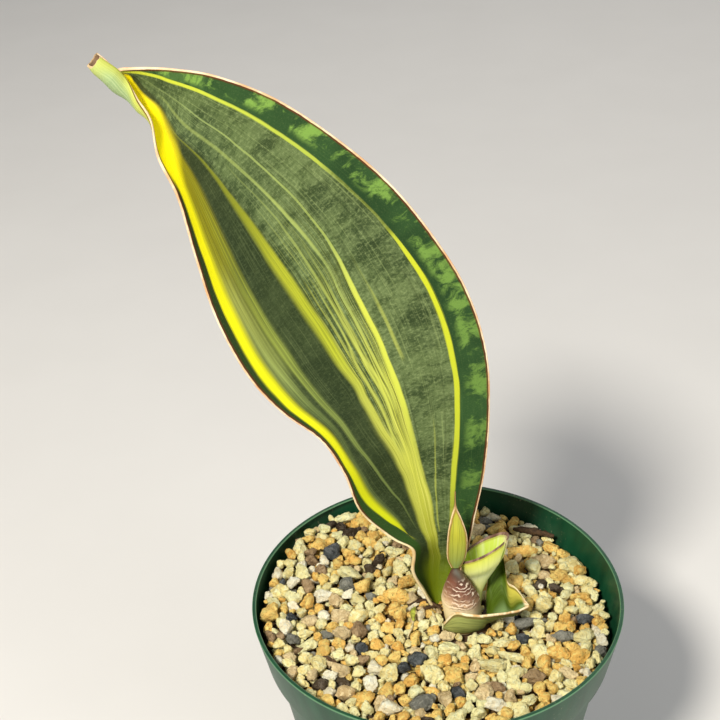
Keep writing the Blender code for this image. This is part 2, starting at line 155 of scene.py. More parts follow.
LOWER_SHEATH = (
    ((1.8, -10.2, -10.6), (2.0, -10.4, -6.5), 20, 1.0),
    ((6.5, -13.0, -10.6), (6.2, -13.4, 1.3), 30, 1.0),
    ((13.5, -12.5, -10.4), (11.5, -14.5, 1.3), 50, 1.0),
    ((19.3, -7.5, -9.9), (16.5, -14.6, 0.5), 85, 1.0),
    ((20.6, 6.0, -6.8), (20.5, -14.4, 0.5), 125, 1.0),
    ((23.0, 10.0, 5.0), (23.8, -14.2, 0.5), 165, 1.0),
    ((27.3, 9.8, 11.5), (27.0, -13.7, 0.3), 185, 1.0),
    ((28.9, 8.6, 3.5), (29.0, -12.9, 0.1), 165, 1.0),
    ((29.6, 6.2, -1.0), (31.2, -12.2, -0.3), 140, 1.0),
    ((32.4, 1.0, 0.2), (33.6, -11.1, -0.5), 105, 1.0),
    ((36.0, -8.4, -0.2), (36.4, -9.8, -0.5), 60, 1.0),
)
ROLLED_LEAF = (
    ((16.8, 5.2, -10.8), 1.6, 1.8, 0),
    ((17.1, 5.2, -4.0), 1.8, 1.9, 0),
    ((18.0, 4.9, 2.5), 3.4, 2.4, 10),
    ((18.7, 4.8, 6.8), 6.1, 3.2, 20),
    ((19.5, 3.3, 12.6), 8.9, 4.1, 28),
    ((19.3, 2.8, 20.8), 11.4, 4.9, 31),
)
ROLLED_SEAM_ANGLE = -30
ROLLED_SEAM_GAP = 14
# Thickness in millimetres, in the middle and at the margins
LEAF_THICKNESS = (2.2, 0.7)
SHEATH_THICKNESS = (1.2, 0.6)

# Knob and crown, as in the part
CROWN_CENTRE = (9.0, -2.5)
CROWN_HALVES = (15.5, 14.0)
CROWN_TOP = -11.2
CROWN_BOTTOM = -46.0
CROWN_SIDES = 48
KNOB_SIDES = 72
KNOB_RINGS = 90
KNOB_FOOT = (10.8, -3.2)
KNOB_LEAN = (-3.4, 0.8)
KNOB_PROFILE = ((7.4, -12.5), (7.8, -5.0), (7.7, 0.0), (6.0, 5.0), (3.6, 10.0), (1.9, 13.5), (0.9, 14.4))


def linear(colour):
    """A colour in linear light. One that goes above 1 is given as a screen shows it, from 0 to 255."""
    if max(colour) <= 1:
        return colour
    shares = [value / 255 for value in colour]
    return tuple(share / 12.92 if share <= 0.04045 else ((share + 0.055) / 1.055) ** 2.4 for share in shares)


class Graph:
    """A material's node tree. Each call adds nodes and returns an output; inputs are numbers, colours
    or earlier outputs."""

    def __init__(self, name, roughness=0.5, specular=0.5):
        self.material = bpy.data.materials.new(name)
        self.material.use_nodes = True
        self.tree = self.material.node_tree
        self.shader = self.tree.nodes["Principled BSDF"]
        self.shader.inputs["Roughness"].default_value = roughness
        self.shader.inputs["Specular IOR Level"].default_value = specular

    def feed(self, socket, value):
        if isinstance(value, bpy.types.NodeSocket):
            self.tree.links.new(value, socket)
        elif isinstance(value, tuple):
            socket.default_value = (*linear(value), 1.0)
        else:
            socket.default_value = value

    def add(self, kind, inputs=(), **settings):
        node = self.tree.nodes.new(kind)
        for key, value in settings.items():
            setattr(node, key, value)
        for key, value in dict(inputs).items():
            self.feed(node.inputs[key], value)
        return node

    def math(self, operation, a, b=0.0):
        return self.add("ShaderNodeMath", {0: a, 1: b}, operation=operation).outputs[0]

    def plus(self, *values):
        return reduce(partial(self.math, "ADD"), values)

    def times(self, *values):
        return reduce(partial(self.math, "MULTIPLY"), values)

    def less(self, a, b):
        return self.math("SUBTRACT", a, b)

    def step(self, value, low, high, start=0.0, end=1.0, kind="SMOOTHSTEP"):
        """start below low, end above high, and a smooth ramp between them."""
        inputs = dict(enumerate((value, low, high, start, end)))
        return self.add("ShaderNodeMapRange", inputs, interpolation_type=kind).outputs[0]

    def fall(self, value, low, high):
        """1 below low, 0 above high, and a smooth ramp between them."""
        return self.step(value, low, high, 1.0, 0.0)

    def mix(self, share, a, b):
        return self.add("ShaderNodeMix", {0: share, 6: a, 7: b}, data_type="RGBA").outputs[2]

    def layers(self, colour, *layers):
        """colour under layers, each a paint and the shares whose product it shows by."""
        for paint, *shares in layers:
            colour = self.mix(self.times(*shares), colour, paint)
        return colour

    def split(self, vector):
        return self.add("ShaderNodeSeparateXYZ", {0: vector}).outputs[:]

    def attribute(self, name):
        """The three numbers of an attribute."""
        return self.split(self.add("ShaderNodeAttribute", attribute_name=name).outputs["Vector"])

    def blade(self):
        """A blade's measures: its share across, its share along and its side, then the distances from
        its left margin, along it and from its right margin."""
        return self.attribute("skin") + self.attribute("place")

    def vector(self, x=0.0, y=0.0, z=0.0):
        return self.add("ShaderNodeCombineXYZ", {0: x, 1: y, 2: z}).outputs[0]

    def object_place(self):
        return self.add("ShaderNodeTexCoord").outputs["Object"]

    def noise(self, vector, scale=1.0, detail=3.0, roughness=0.5, distortion=0.0):
        looks = {"Scale": scale, "Detail": detail, "Roughness": roughness, "Distortion": distortion}
        return self.add("ShaderNodeTexNoise", {"Vector": vector, **looks}).outputs[0]

    def woven(self, across, fine, along, coarse, *looks, z=0.0):
        """Noise that is finer one way than the other."""
        place = self.vector(self.times(across, fine), self.times(along, coarse), z)
        return self.noise(place, 1.0, *looks)

    def sway(self, noise, size):
        """A noise as a shift to either side."""
        return self.times(self.less(noise, 0.5), size)

    def cells(self, vector, scale):
        return self.add("ShaderNodeTexVoronoi", {"Vector": vector, "Scale": scale}).outputs[0]

    def curve(self, value, points):
        """A smooth curve through (value, result) points, level beyond its ends."""
        node = self.add("ShaderNodeFloatCurve", {"Value": value})
        mapping = node.mapping
        mapping.use_clip = False
        handles = mapping.curves[0].points
        while len(handles) < len(points):
            handles.new(0.5, 0.5)
        for handle, (place, result) in zip(handles, points):
            handle.location = (place, result)
            handle.handle_type = "AUTO_CLAMPED"
        mapping.update()
        return node.outputs[0]

    def ramp(self, value, stops):
        node = self.add("ShaderNodeValToRGB", {0: value})
        elements = node.color_ramp.elements
        while len(elements) < len(stops):
            elements.new(1.0)
        for element, (place, colour) in zip(elements, stops):
            element.position = place
            element.color = (*linear(colour), 1.0)
        return node.outputs[0]

    def finish(self, colour, height, distance, strength, roughness=None):
        """The material, with a colour and a bump of the given height, distance and strength."""
        bump = self.add("ShaderNodeBump", {"Height": height, "Distance": distance, "Strength": strength})
        self.feed(self.shader.inputs["Base Color"], colour)
        self.feed(self.shader.inputs["Normal"], bump.outputs[0])
        if roughness is not None:
            self.feed(self.shader.inputs["Roughness"], roughness)
        return self.material


def above_rim(points):
    """Millimetres above the rim plane, as metres in the row frame."""
    return np.asarray(points, float) * MM + (0.0, 0.0, RIM)


def add_mesh(name, points, faces, material, sharp=None, **attributes):
    mesh = bpy.data.meshes.new(name)
    mesh.from_pydata(np.asarray(points).tolist(), [], [list(map(int, face)) for face in faces])
    mesh.shade_smooth()
    if sharp:
        mesh.set_sharp_from_angle(angle=math.radians(sharp))
    for key, values in attributes.items():
        layer = mesh.attributes.new(key, "FLOAT_VECTOR", "POINT")
        layer.data.foreach_set("vector", np.asarray(values, np.float32).ravel())
    mesh.materials.append(material)
    added = bpy.data.objects.new(name, mesh)
    bpy.context.scene.collection.objects.link(added)
    return added


def dress(piece, slot, *nodes):
    """The piece rides on the part's one body and stands for nodes, whose parts it hides; slot is not used."""
    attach(piece, "root")
    if nodes:
        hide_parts(*nodes)
    return piece


# Blades

def unit(vectors):
    return vectors / np.linalg.norm(vectors, axis=-1, keepdims=True)


def through(values, positions):
    """A smooth curve through evenly numbered values, read at positions between them."""
    values = np.asarray(values, float)
    last = len(values) - 1
    step = np.clip(positions.astype(int), 0, last - 1)
    share = (positions - step).reshape(-1, *[1] * (values.ndim - 1))
    first = 2 * values[:1] - values[1:2]
    final = 2 * values[-1:] - values[-2:-1]
    padded = np.concatenate([first, values, final])
    before, start, end, after = (padded[step + offset] for offset in range(4))
    square = share**2
    cube = square * share
    return (
        start * (2 * cube - 3 * square + 1)
        + (end - before) / 2 * (cube - 2 * square + share)
        + end * (3 * square - 2 * cube)
        + (after - start) / 2 * (cube - square)
    )


def leaf_surface(stations, spans, inner, edges, axis=None):
    """The middle surface of a leaf, in millimetres: a dict of arrays with a row for each section.
    edges are the distances from a margin at which the first points lie, and inner is the number of
    spans between the two margins' edge points."""
    lefts = np.array([row[0] for row in stations], float)
    rights = np.array([row[1] for row in stations], float)
    last = len(stations) - 1
    place = np.arange(last * spans + 1) / spans
    left = through(lefts, place)
    chord = through(rights, place) - left
    turn = through(np.radians([row[2] for row in stations]), place)
    skew = through([row[3] for row in stations], place)
    middle = lefts + rights
    tangent = through(middle, np.minimum(place + 0.5, last))
    tangent = unit(tangent - through(middle, np.maximum(place - 0.5, 0.0)))
    if axis is not None:
        tangent = np.broadcast_to(np.array(axis, float), tangent.shape)
    back = unit(np.cross(tangent, chord))
    ahead = unit(chord)
    fine = 400  # steps along each section's arc
    share = (np.arange(fine) + 0.5) / fine
    heading = turn[:, None] * (0.5 - (1 - (1 - share) ** skew[:, None]))
    path = np.concatenate([np.zeros((len(place), 1)), np.cumsum(np.exp(1j * heading), axis=1)], axis=1)
    fit = np.linalg.norm(chord, axis=1) / path[:, -1]
    width = np.abs(fit) * fine
    reach = np.minimum(np.array(edges)[None] / width[:, None], 0.3 * np.array(edges)[None] / edges[-1])
    inside = np.linspace(0, 1, inner + 1)[None, 1:-1]
    limit = reach[:, -1:]
    u = np.concatenate([reach, limit + (1 - 2 * limit) * inside, 1 - reach[:, ::-1]], axis=1)
    step = np.minimum((u * fine).astype(int), fine - 1)
    part = u * fine - step
    rows = np.arange(len(place))[:, None]
    spot = (path[rows, step] * (1 - part) + path[rows, step + 1] * part) * fit[:, None]
    heading = turn[:, None] * (0.5 - (1 - (1 - u) ** skew[:, None]))
    facing = np.exp(1j * heading) * (fit / np.abs(fit))[:, None] * 1j
    along = np.concatenate([[0], np.cumsum(np.linalg.norm(np.diff(left + chord / 2, axis=0), axis=1))])
    points = left[:, None] + ahead[:, None] * spot.real[..., None]
    return {
        "points": points + back[:, None] * spot.imag[..., None],
        "normals": ahead[:, None] * facing.real[..., None] + back[:, None] * facing.imag[..., None],
        "u": u,
        "t": np.broadcast_to(place[:, None] / last, u.shape),
        "from_left": u * width[:, None],
        "from_right": (1 - u) * width[:, None],
        "along": np.broadcast_to(along[:, None], u.shape),
    }


def blade_height(surface, middle, margin, bead=0.0, edge=None, least=0.08):
    """Half the blade's thickness at each point: a crowned middle, rounded margins and a small bead.
    edge is the distance from the rounded margins, and least the share of thickness right at them."""
    u = surface["u"]
    full = margin + (middle - margin) * np.sqrt(4 * u * (1 - u))
    if edge is None:
        edge = np.minimum(surface["from_left"], surface["from_right"])
    radius = margin / 2
    rounding = np.sqrt(1 - (1 - np.clip(edge / radius, 0, 1)) ** 2)
    swell = bead * np.exp(-(((edge - 0.7) / 0.35) ** 2)) - 0.5 * bead * np.exp(-(((edge - 1.6) / 0.4) ** 2))
    return (full / 2 + swell) * np.maximum(rounding, least)


def add_blade(name, surface, half, material, front=0.0, back=0.0):
    """A closed blade on a surface; front and back are extra heights of the two faces."""
    points = surface["points"]
    normals = surface["normals"]
    length, width = surface["u"].shape
    sides = [points - normals * (half + front)[..., None], points + normals * (half + back)[..., None]]
    count = length * width
    index = np.arange(count).reshape(length, width)
    a, b, c, d = index[:-1, :-1], index[:-1, 1:], index[1:, 1:], index[1:, :-1]
    near = np.stack([a, b, c, d], -1).reshape(-1, 4)
    far = np.stack([d, c, b, a], -1).reshape(-1, 4) + count
    loop = np.concatenate([index[:-1, 0], index[-1, :-1], index[:0:-1, -1], index[0, :0:-1]])
    after = np.roll(loop, -1)
    rim = np.stack([loop, after, after + count, loop + count], -1)
    faces = np.concatenate([near, far, rim])
    skin = []
    place = []
    for side in (0.0, 1.0):
        flag = np.full(count, side)
        skin.append(np.stack([surface["u"].ravel(), surface["t"].ravel(), flag], -1))
        measures = [surface[key].ravel() * MM for key in ("from_left", "along", "from_right")]
        place.append(np.stack(measures, -1))
    points = above_rim(np.concatenate([side.reshape(-1, 3) for side in sides]))
    return add_mesh(
        name, points, faces, material, BLADE_SHARP, skin=np.concatenate(skin), place=np.concatenate(place)
    )


# Main leaf: the lines that its stripes follow, as (row, share across) points

LEAF_ROWS = len(MAIN_LEAF) - 1
EDGE_LINE = (
    (0, 0.19), (3.9, 0.18), (4.5, 0.147), (5, 0.108), (5.5, 0.073), (6.2, 0.046), (7, 0.044), (8, 0.052),
    (9, 0.061), (10, 0.071), (12, 0.072), (13, 0.17), (14, 0.32), (15, 0.53), (15.5, 0.70), (16, 0.85),
    (19, 0.9),
)
WASH_LINE = (
    (0, 0.25), (4.3, 0.205), (5, 0.16), (5.6, 0.115), (6.2, 0.086), (7, 0.092), (8, 0.104), (9, 0.122),
    (11, 0.125), (12, 0.14), (13, 0.25),
)
BROWN_LINE = ((0, 0.3), (8, 0.15), (9, 0.152), (12, 0.155), (13, 0.25), (14, 0.4))
PALE_LINE = (
    (0, 0.33), (4, 0.318), (4.5, 0.32), (5, 0.285), (5.5, 0.225), (6, 0.175), (6.5, 0.145), (7, 0.14),
    (8, 0.165), (9, 0.182), (10, 0.183), (12, 0.175), (13, 0.26), (14, 0.40), (15, 0.62), (16, 0.88),
    (19, 0.91),
)
OLIVE_LINE = (
    (0, 0.45), (2, 0.45), (2.5, 0.40), (3, 0.34), (3.5, 0.37), (4, 0.40), (4.5, 0.43), (5, 0.435),
    (5.5, 0.40), (6, 0.35), (6.5, 0.315), (7, 0.31), (7.5, 0.335), (8, 0.347), (9, 0.37), (9.5, 0.37),
    (10, 0.365), (11, 0.352), (11.5, 0.34), (12, 0.33), (13, 0.335), (14, 0.46), (15, 0.68), (16, 0.90),
    (19, 0.92),
)
INNER_LINE = (
    (0, 0.55), (2, 0.55), (2.5, 0.46), (3, 0.40), (4, 0.46), (5, 0.485), (5.5, 0.475), (6, 0.45),
    (6.5, 0.44), (7, 0.445), (7.5, 0.465), (8, 0.49), (8.5, 0.51), (9, 0.525), (9.5, 0.548), (10, 0.545),
    (10.5, 0.533), (11, 0.517), (11.5, 0.49), (12, 0.465), (12.5, 0.455), (13, 0.46), (14, 0.55),
    (15, 0.74), (16, 0.915), (19, 0.93),
)
FAN_LINE = (
    (0, 0.62), (2, 0.62), (2.5, 0.55), (3, 0.49), (3.5, 0.51), (4, 0.535), (4.5, 0.555), (5, 0.54),
    (5.5, 0.51), (6, 0.49), (6.5, 0.487), (7, 0.492), (7.5, 0.515), (8, 0.545), (8.5, 0.563),
    (9, 0.583), (9.5, 0.605), (10, 0.618), (10.5, 0.617), (11, 0.607), (11.5, 0.59), (12, 0.573),
    (12.5, 0.573), (13, 0.59), (14, 0.64), (15, 0.80), (16, 0.93), (19, 0.94),
)
RIGHT_LINE = (
    (0, 0.80), (2, 0.78), (3, 0.70), (4, 0.74), (5, 0.767), (5.5, 0.78), (6, 0.793), (6.5, 0.805),
    (7, 0.815), (7.5, 0.832), (8, 0.847), (8.5, 0.86), (9, 0.862), (9.5, 0.858), (10, 0.85),
    (10.5, 0.842), (11, 0.832), (11.5, 0.815), (12, 0.80), (12.5, 0.797), (13, 0.805), (13.5, 0.81),
    (14, 0.825), (14.5, 0.87), (15, 0.905), (16, 0.95), (19, 0.97),
)
# Fine lines that leave the fan, and fainter ones that stand alone in the field
FEATHERS = (
    ((6.0, 0.375), (7.0, 0.365), (7.6, 0.385), (8.4, 0.43), (9.3, 0.455)),
    ((6.6, 0.405), (7.4, 0.415), (8.2, 0.455), (9.2, 0.50), (9.9, 0.515)),
    ((7.0, 0.45), (7.8, 0.475), (8.6, 0.515), (9.4, 0.54)),
    ((7.1, 0.43), (8.0, 0.44), (9.0, 0.47), (10.2, 0.485), (11.6, 0.44)),
)
LONE_LINES = (
    ((3.9, 0.58), (4.3, 0.60), (4.8, 0.62), (5.4, 0.635), (6.0, 0.64)),
    ((7.9, 0.605), (8.5, 0.63), (9.3, 0.655)),
)
# Rows at which light blotches cross the right-hand band
BAND_BLOTCHES = (4.85, 5.7, 6.55, 7.4, 7.9, 8.4, 8.9, 10.1, 11.3, 12.15, 13.4, 14.3)
# Stripes: half-widths and strengths as (row, value) points, and how far the left and right edges fade,
# as shares of the half-width
WASH = (
    ((4.5, 0.022), (6, 0.014), (7, 0.014), (8, 0.022), (9, 0.030), (10, 0.030), (12, 0.024)),
    ((4, 0), (4.6, 0.4), (5.4, 0.45), (6, 0.35), (6.6, 0.35), (7.2, 0.5), (8, 0.65), (9, 0.85), (9.9, 0.85),
     (10.8, 0.4), (12, 0.1), (12.6, 0)),
    0.7, 0.7,
)
BROWN = (
    ((8, 0.03), (9, 0.035), (10, 0.045), (12, 0.052), (13, 0.05)),
    ((8.3, 0), (9, 0.2), (10, 0.35), (10.8, 0.85), (12, 1), (12.8, 0.5), (13.5, 0)),
    0.3, 0.4,
)
SAGE = (
    ((4, 0.006), (5, 0.008), (6, 0.010), (6.6, 0.013), (7.5, 0.015), (8, 0.016), (9, 0.02), (12, 0.016)),
    ((3.6, 0), (4.3, 0.35), (5, 0.65), (6, 0.85), (7, 0.95), (8.5, 1), (9.5, 0.9), (10.5, 0.5), (11.5, 0.3),
     (12.5, 0)),
    0.5, 0.9,
)
OLIVE = (
    ((4, 0.028), (5, 0.028), (6, 0.02), (7, 0.02), (7.5, 0.018), (8, 0.021), (9, 0.024), (10, 0.023),
     (11, 0.018), (11.5, 0.013), (12, 0.009), (13, 0.005)),
    ((3, 0), (4.5, 0.6), (5.5, 1), (9, 1), (10.6, 0.9), (11.3, 0.75), (12, 0.55), (13, 0.35), (14, 0)),
    0.8, 0.4,
)
INNER = (
    ((8, 0.008), (9, 0.005), (10.3, 0.008), (11, 0.007), (12, 0.011), (13.5, 0.015)),
    ((8, 0), (8.5, 0.3), (9.5, 0.4), (10.4, 0.75), (11, 0.6), (12, 0.4), (13.5, 0.3), (14.5, 0)),
    0.6, 0.6,
)
FAN_EDGE = (
    ((6, 0.016), (7, 0.015), (7.5, 0.013), (8.5, 0.011), (9.3, 0.008), (10.5, 0.005), (12, 0.006),
     (13, 0.008)),
    ((5, 0), (6.5, 0.8), (7, 1), (9, 1), (9.6, 0.8), (10, 0.65), (10.6, 0.55), (11, 0.65), (12.5, 0.6),
     (13.5, 0.4), (15, 0.2)),
    0.5, 0.4,
)
RIGHT = (
    ((3, 0.022), (5, 0.02), (6, 0.017), (7, 0.014), (8, 0.012), (9, 0.009), (9.3, 0.007), (10, 0.006),
     (10.6, 0.009), (12, 0.013), (13, 0.015), (14, 0.022), (15, 0.024), (16, 0.03)),
    ((3, 0), (4.6, 0.8), (5, 1), (9, 1), (9.4, 0.5), (9.7, 0.2), (10.4, 0.2), (10.9, 0.85), (13, 0.95),
     (16, 1)),
    0.35, 0.35,
)
BRIGHT = (
    ((4.1, 0.015), (4.5, 0.032), (5, 0.031), (5.5, 0.027), (6.2, 0.02), (7, 0.018), (8, 0.019), (10, 0.024),
     (12, 0.031), (13, 0.1), (14, 0.075), (15, 0.045), (16, 0.04)),
    ((3.4, 0), (4.1, 0.7), (4.5, 1), (15.8, 1), (16.5, 0)),
    0.3, 0.9,
)


def leaf_curve(g, t, points):
    return g.curve(t, [(row / LEAF_ROWS, result) for row, result in points])


def leaf_ground(g, t, row, flow, from_left, along, from_right, fibre, thin):
    """Green with pale mottling stretched across the leaf, and the blotched right-hand band. Returns the
    colour and three of its noises."""
    cross = g.woven(from_left, 105, along, 190, 4, 0.62, 0.6)
    fine = g.woven(from_left, 620, along, 1000, 3, 0.7, z=2.0)
    broad = g.woven(from_left, 34, along, 52, z=3.0)
    grain = g.woven(from_left, 1500, along, 1900, 2, 0.6, z=7.0)
    patch = g.plus(g.times(cross, 0.5), g.times(fine, 0.2), g.times(broad, 0.3))
    upper = g.step(row, 10.5, 13)
    left = g.fall(flow, 2.9, 3.4)
    pale = g.mix(upper, (108, 124, 77), (90, 106, 62))
    ground = g.layers(
        g.mix(g.step(broad, 0.35, 0.65), (42, 58, 28), (64, 80, 40)),
        (g.mix(upper, (30, 42, 14), (42, 48, 16)), left, 0.88),
        (pale, g.step(patch, 0.38, 0.62), g.less(0.7, g.times(left, 0.58))),
        ((36, 50, 22), g.fall(cross, 0.34, 0.48), 0.3),
        ((134, 148, 98), g.step(fine, 0.5, 0.66), g.less(0.34, g.times(left, 0.27))),
        ((34, 48, 22), g.fall(fine, 0.32, 0.46), 0.35),
        ((150, 166, 104), g.step(thin, 0.52, 0.68), g.less(0.28, g.times(left, 0.16))),
        ((34, 46, 18), g.fall(fibre, 0.32, 0.45), 0.35),
    )
    rows = [g.fall(g.math("ABSOLUTE", g.less(row, place)), 0.0, 0.38) for place in BAND_BLOTCHES]
    blot = g.woven(from_right, 150, along, 240, 5, 0.68, 0.5, z=4.0)
    blotch = g.times(
        g.step(g.plus(g.times(g.plus(*rows), 0.2), blot), 0.53, 0.74), g.step(flow, 6.15, 6.45),
        g.step(fine, 0.25, 0.5, 0.6, 1.0),
    )
    band = g.layers(
        g.mix(g.step(broad, 0.35, 0.65), (28, 56, 24), (42, 72, 34)),
        ((66, 98, 48), g.step(row, 12.6, 13.6), g.step(cross, 0.4, 0.6)),
        ((116, 152, 66), blotch, leaf_curve(g, t, ((4, 0.45), (7, 0.65), (9, 0.8)))),
        ((92, 124, 66), g.step(thin, 0.56, 0.72), 0.25),
    )
    return g.mix(g.step(flow, 6.0, 6.08), ground, band), cross, broad, grain


def leaf_back(g, u, row, thin, cross, stripes):
    """The back face, and the outside of the rolled tip."""
    outside = g.layers(
        g.mix(g.step(cross, 0.45, 0.7), (70, 90, 48), (122, 142, 88)),
        ((190, 198, 84), stripes, 0.6),
        ((150, 166, 98), g.step(thin, 0.5, 0.75), 0.4),
    )
    streak = g.step(thin, 0.4, 0.7)
    sunny = g.mix(streak, (174, 180, 68), (196, 200, 108))
    tube = g.layers(
        g.mix(streak, (140, 164, 112), (172, 188, 134)),
        (sunny, g.plus(g.step(u, 0.62, 0.88), g.fall(u, 0.05, 0.3))),
        ((184, 190, 92), g.step(row, 17.0, 18.2, 0.0, 0.6)),
    )
    return g.mix(g.step(row, 12.2, 13.8), outside, tube)


def leaf_margins(g, t, row, colour, from_left, from_right, along):
    """A cream bead with a thin red-brown line inside it, and the papery foot of the left margin."""
    fray = g.sway(g.noise(g.vector(g.times(along, 260)), 1.0, 3), 0.0005)
    near = g.plus(g.math("MINIMUM", from_left, from_right), fray)
    line = g.times(g.step(near, 0.0003, 0.0006), g.fall(near, 0.0009, 0.0014))
    tone = g.noise(g.vector(g.times(along, 60)), 1.0, 4, 0.6)
    papery = leaf_curve(g, t, ((0, 0.0034), (1, 0.002), (2, 0.0008), (3, 0.0008), (4.2, 0.0007), (5, 0.0002)))
    inside = g.fall(g.less(g.plus(from_left, fray), papery), 0.0, 0.0005)
    return g.layers(
        colour,
        ((84, 40, 16), line, g.step(row, 15.9, 16.6, 0.85, 0.15)),
        (g.mix(g.step(tone, 0.38, 0.62), (244, 220, 184), (216, 166, 120)), g.fall(near, 0.0003, 0.0006)),
        (g.mix(g.step(tone, 0.35, 0.65), (240, 228, 184), (208, 178, 124)), inside),
    )


def leaf_material():
    g = Graph("leaf_skin", 0.5, 0.16)
    u, t, side, from_left, along, from_right = g.blade()
    row = g.times(t, LEAF_ROWS)
    curve = partial(leaf_curve, g, t)
    u = g.plus(u, g.sway(g.woven(from_left, 160, along, 45, 2), 0.010))
    courses = [curve(line) for line in (EDGE_LINE, PALE_LINE, OLIVE_LINE, INNER_LINE, FAN_LINE, RIGHT_LINE)]
    edge_line, pale_line, olive_line, inner_line, fan_line, right_line = courses
    bounds = [0.0, *courses, 1.0]
    flow = g.plus(*[g.step(u, low, high, kind="LINEAR") for low, high in zip(bounds, bounds[1:])])
    fibre = g.woven(flow, 11, along, 9, 3, 0.6, z=5.0)
    thin = g.woven(flow, 30, along, 18, 3, 0.65, z=9.0)
    u = g.plus(u, g.sway(thin, 0.018))
    colour, cross, broad, grain = leaf_ground(g, t, row, flow, from_left, along, from_right, fibre, thin)

    def tints(*stops):
        """A colour that changes along the leaf, from (row, colour) stops."""
        return g.ramp(t, [(place / LEAF_ROWS, tint) for place, tint in stops])

    def streaked(under, low, high, share, paint):
        """A colour with fine streaks of paint over it."""
        return g.layers(under, (paint, g.step(thin, low, high), share))

    def stripe(line, halves, strengths, left, right):
        """How strongly the stripe on a line shows."""
        away = g.math("DIVIDE", g.less(u, line), curve(halves))
        mask = g.times(g.step(away, -1 - left, left - 1), g.fall(away, 1 - right, 1 + right))
        return g.times(mask, curve(strengths))

    # Left of the olive stripe
    below_fold = g.fall(row, 12.0, 12.7)
    dark = tints((2, (44, 72, 18)), (5.5, (34, 62, 16)), (13, (36, 46, 12)))
    pale = tints((7.5, (114, 130, 68)), (8.5, (150, 164, 86)), (10, (164, 172, 88)), (11, (158, 158, 48)))
    brown = tints((9, (128, 134, 50)), (10.6, (136, 134, 20)), (12, (132, 124, 4)))
    sage = tints((5, (116, 132, 70)), (7.5, (122, 136, 64)), (9, (138, 150, 62)), (11, (136, 142, 40)))
    colour = g.layers(
        colour,
        (dark, g.fall(g.less(u, edge_line), -0.03, 0.0), below_fold),
        (pale, stripe(curve(WASH_LINE), *WASH), g.step(fibre, 0.38, 0.6, 0.5, 1.0)),
        (streaked(brown, 0.46, 0.6, 0.6, (86, 86, 8)), stripe(curve(BROWN_LINE), *BROWN)),
        (streaked(sage, 0.46, 0.62, 0.6, (96, 108, 40)), stripe(pale_line, *SAGE),
         g.step(fibre, 0.38, 0.58, 0.55, 1.0)),
    )

    # The fan at the base, and its fine lines
    fan = g.times(
        g.step(u, g.less(olive_line, 0.06), g.plus(olive_line, 0.008)),
        g.fall(u, g.less(fan_line, 0.008), g.plus(fan_line, 0.026)),
        curve(((0, 0.3), (1, 0.6), (2.2, 0.85), (3, 0.95), (5.2, 1), (5.8, 0.7), (6.4, 0.25), (7, 0))),
    )
    right_fan = g.times(
        g.step(u, g.less(inner_line, 0.055), g.less(inner_line, 0.03)),
        g.fall(u, g.less(fan_line, 0.01), g.plus(fan_line, 0.018)),
        curve(((0, 0), (5, 0.9), (6.9, 1), (7.4, 0.6), (8, 0.1), (8.6, 0))),
    )
    fan_colour = g.layers(
        tints(
            (1, (104, 118, 10)), (2.4, (138, 146, 20)), (3.4, (172, 174, 54)), (5, (196, 198, 78)),
            (6.5, (198, 200, 80)), (7.5, (192, 196, 64)),
        ),
        ((150, 158, 48), g.step(thin, 0.46, 0.62), 0.6),
        ((146, 150, 54), g.fall(fibre, 0.34, 0.5), 0.5),
        ((232, 230, 134), g.step(fibre, 0.53, 0.66), 0.45),
    )
    colour = g.layers(
        colour,
        (fan_colour, g.math("MAXIMUM", fan, right_fan)),
        ((40, 54, 18), g.step(flow, 2.7, 3.1), g.fall(flow, 4.85, 4.95), g.fall(fibre, 0.46, 0.54),
         curve(((5.6, 0), (6.4, 0.6), (7.4, 0.85), (9, 0.8), (10, 0.3), (12, 0)))),
        ((184, 190, 84), g.step(flow, 3.0, 3.2), g.fall(flow, 4.9, 5.0), g.step(thin, 0.52, 0.6),
         curve(((5.2, 0), (6.2, 0.65), (7.6, 0.7), (8.6, 0.45), (9.8, 0.2), (11, 0)))),
    )
    feather_colour = tints((7.5, (184, 190, 82)), (9.5, (152, 164, 80)), (11, (140, 154, 86)))
    for feather in FEATHERS + LONE_LINES:
        first, last = feather[0][0], feather[-1][0]
        shows = 0.75 if feather in FEATHERS else 0.5
        rises = ((first - 0.5, 0), (first + 0.1, shows), (last - 0.3, shows / 2), (last + 0.2, 0))
        line = stripe(curve(feather), ((first, 0.008), (last, 0.004)), rises, 0.7, 0.7)
        colour = g.mix(line, colour, feather_colour)
    olive = stripe(olive_line, *OLIVE)
    olive_colour = tints(
        (5.5, (188, 190, 80)), (7.2, (176, 180, 74)), (8.2, (168, 174, 42)), (10, (160, 164, 38)),
        (11, (136, 140, 28)),
    )
    edge_colour = tints((8.6, (192, 198, 72)), (9.8, (160, 174, 86)), (13, (142, 158, 94)))
    right_colour = tints(
        (5, (174, 182, 48)), (8.5, (188, 194, 36)), (11, (170, 184, 66)), (14, (190, 198, 56)),
    )
    past = g.math("DIVIDE", g.less(u, edge_line), curve(BRIGHT[0]))
    folded = g.times(g.less(1.0, below_fold), g.fall(past, 0.2, 1.5), g.fall(row, 16, 16.5))
    bright = g.math("MAXIMUM", stripe(edge_line, *BRIGHT), folded)
    # The yellow brightens towards the fold: partly the stripe's own colour, partly painted light on the fold,
    # which turns away from the lamps.
    bright_colour = tints(
        (4.5, (196, 202, 14)), (6, (206, 206, 14)), (9, (216, 214, 8)), (11.5, (230, 220, 0)),
        (13.5, (250, 228, 0)),
    )
    colour = g.layers(
        colour,
        (streaked(olive_colour, 0.44, 0.62, 0.6, (118, 126, 30)), olive),
        ((158, 172, 90), stripe(inner_line, *INNER)),
        (edge_colour, stripe(fan_line, *FAN_EDGE)),
        (right_colour, stripe(right_line, *RIGHT)),
        (streaked(bright_colour, 0.5, 0.64, 0.3, (206, 204, 10)), bright),
    )

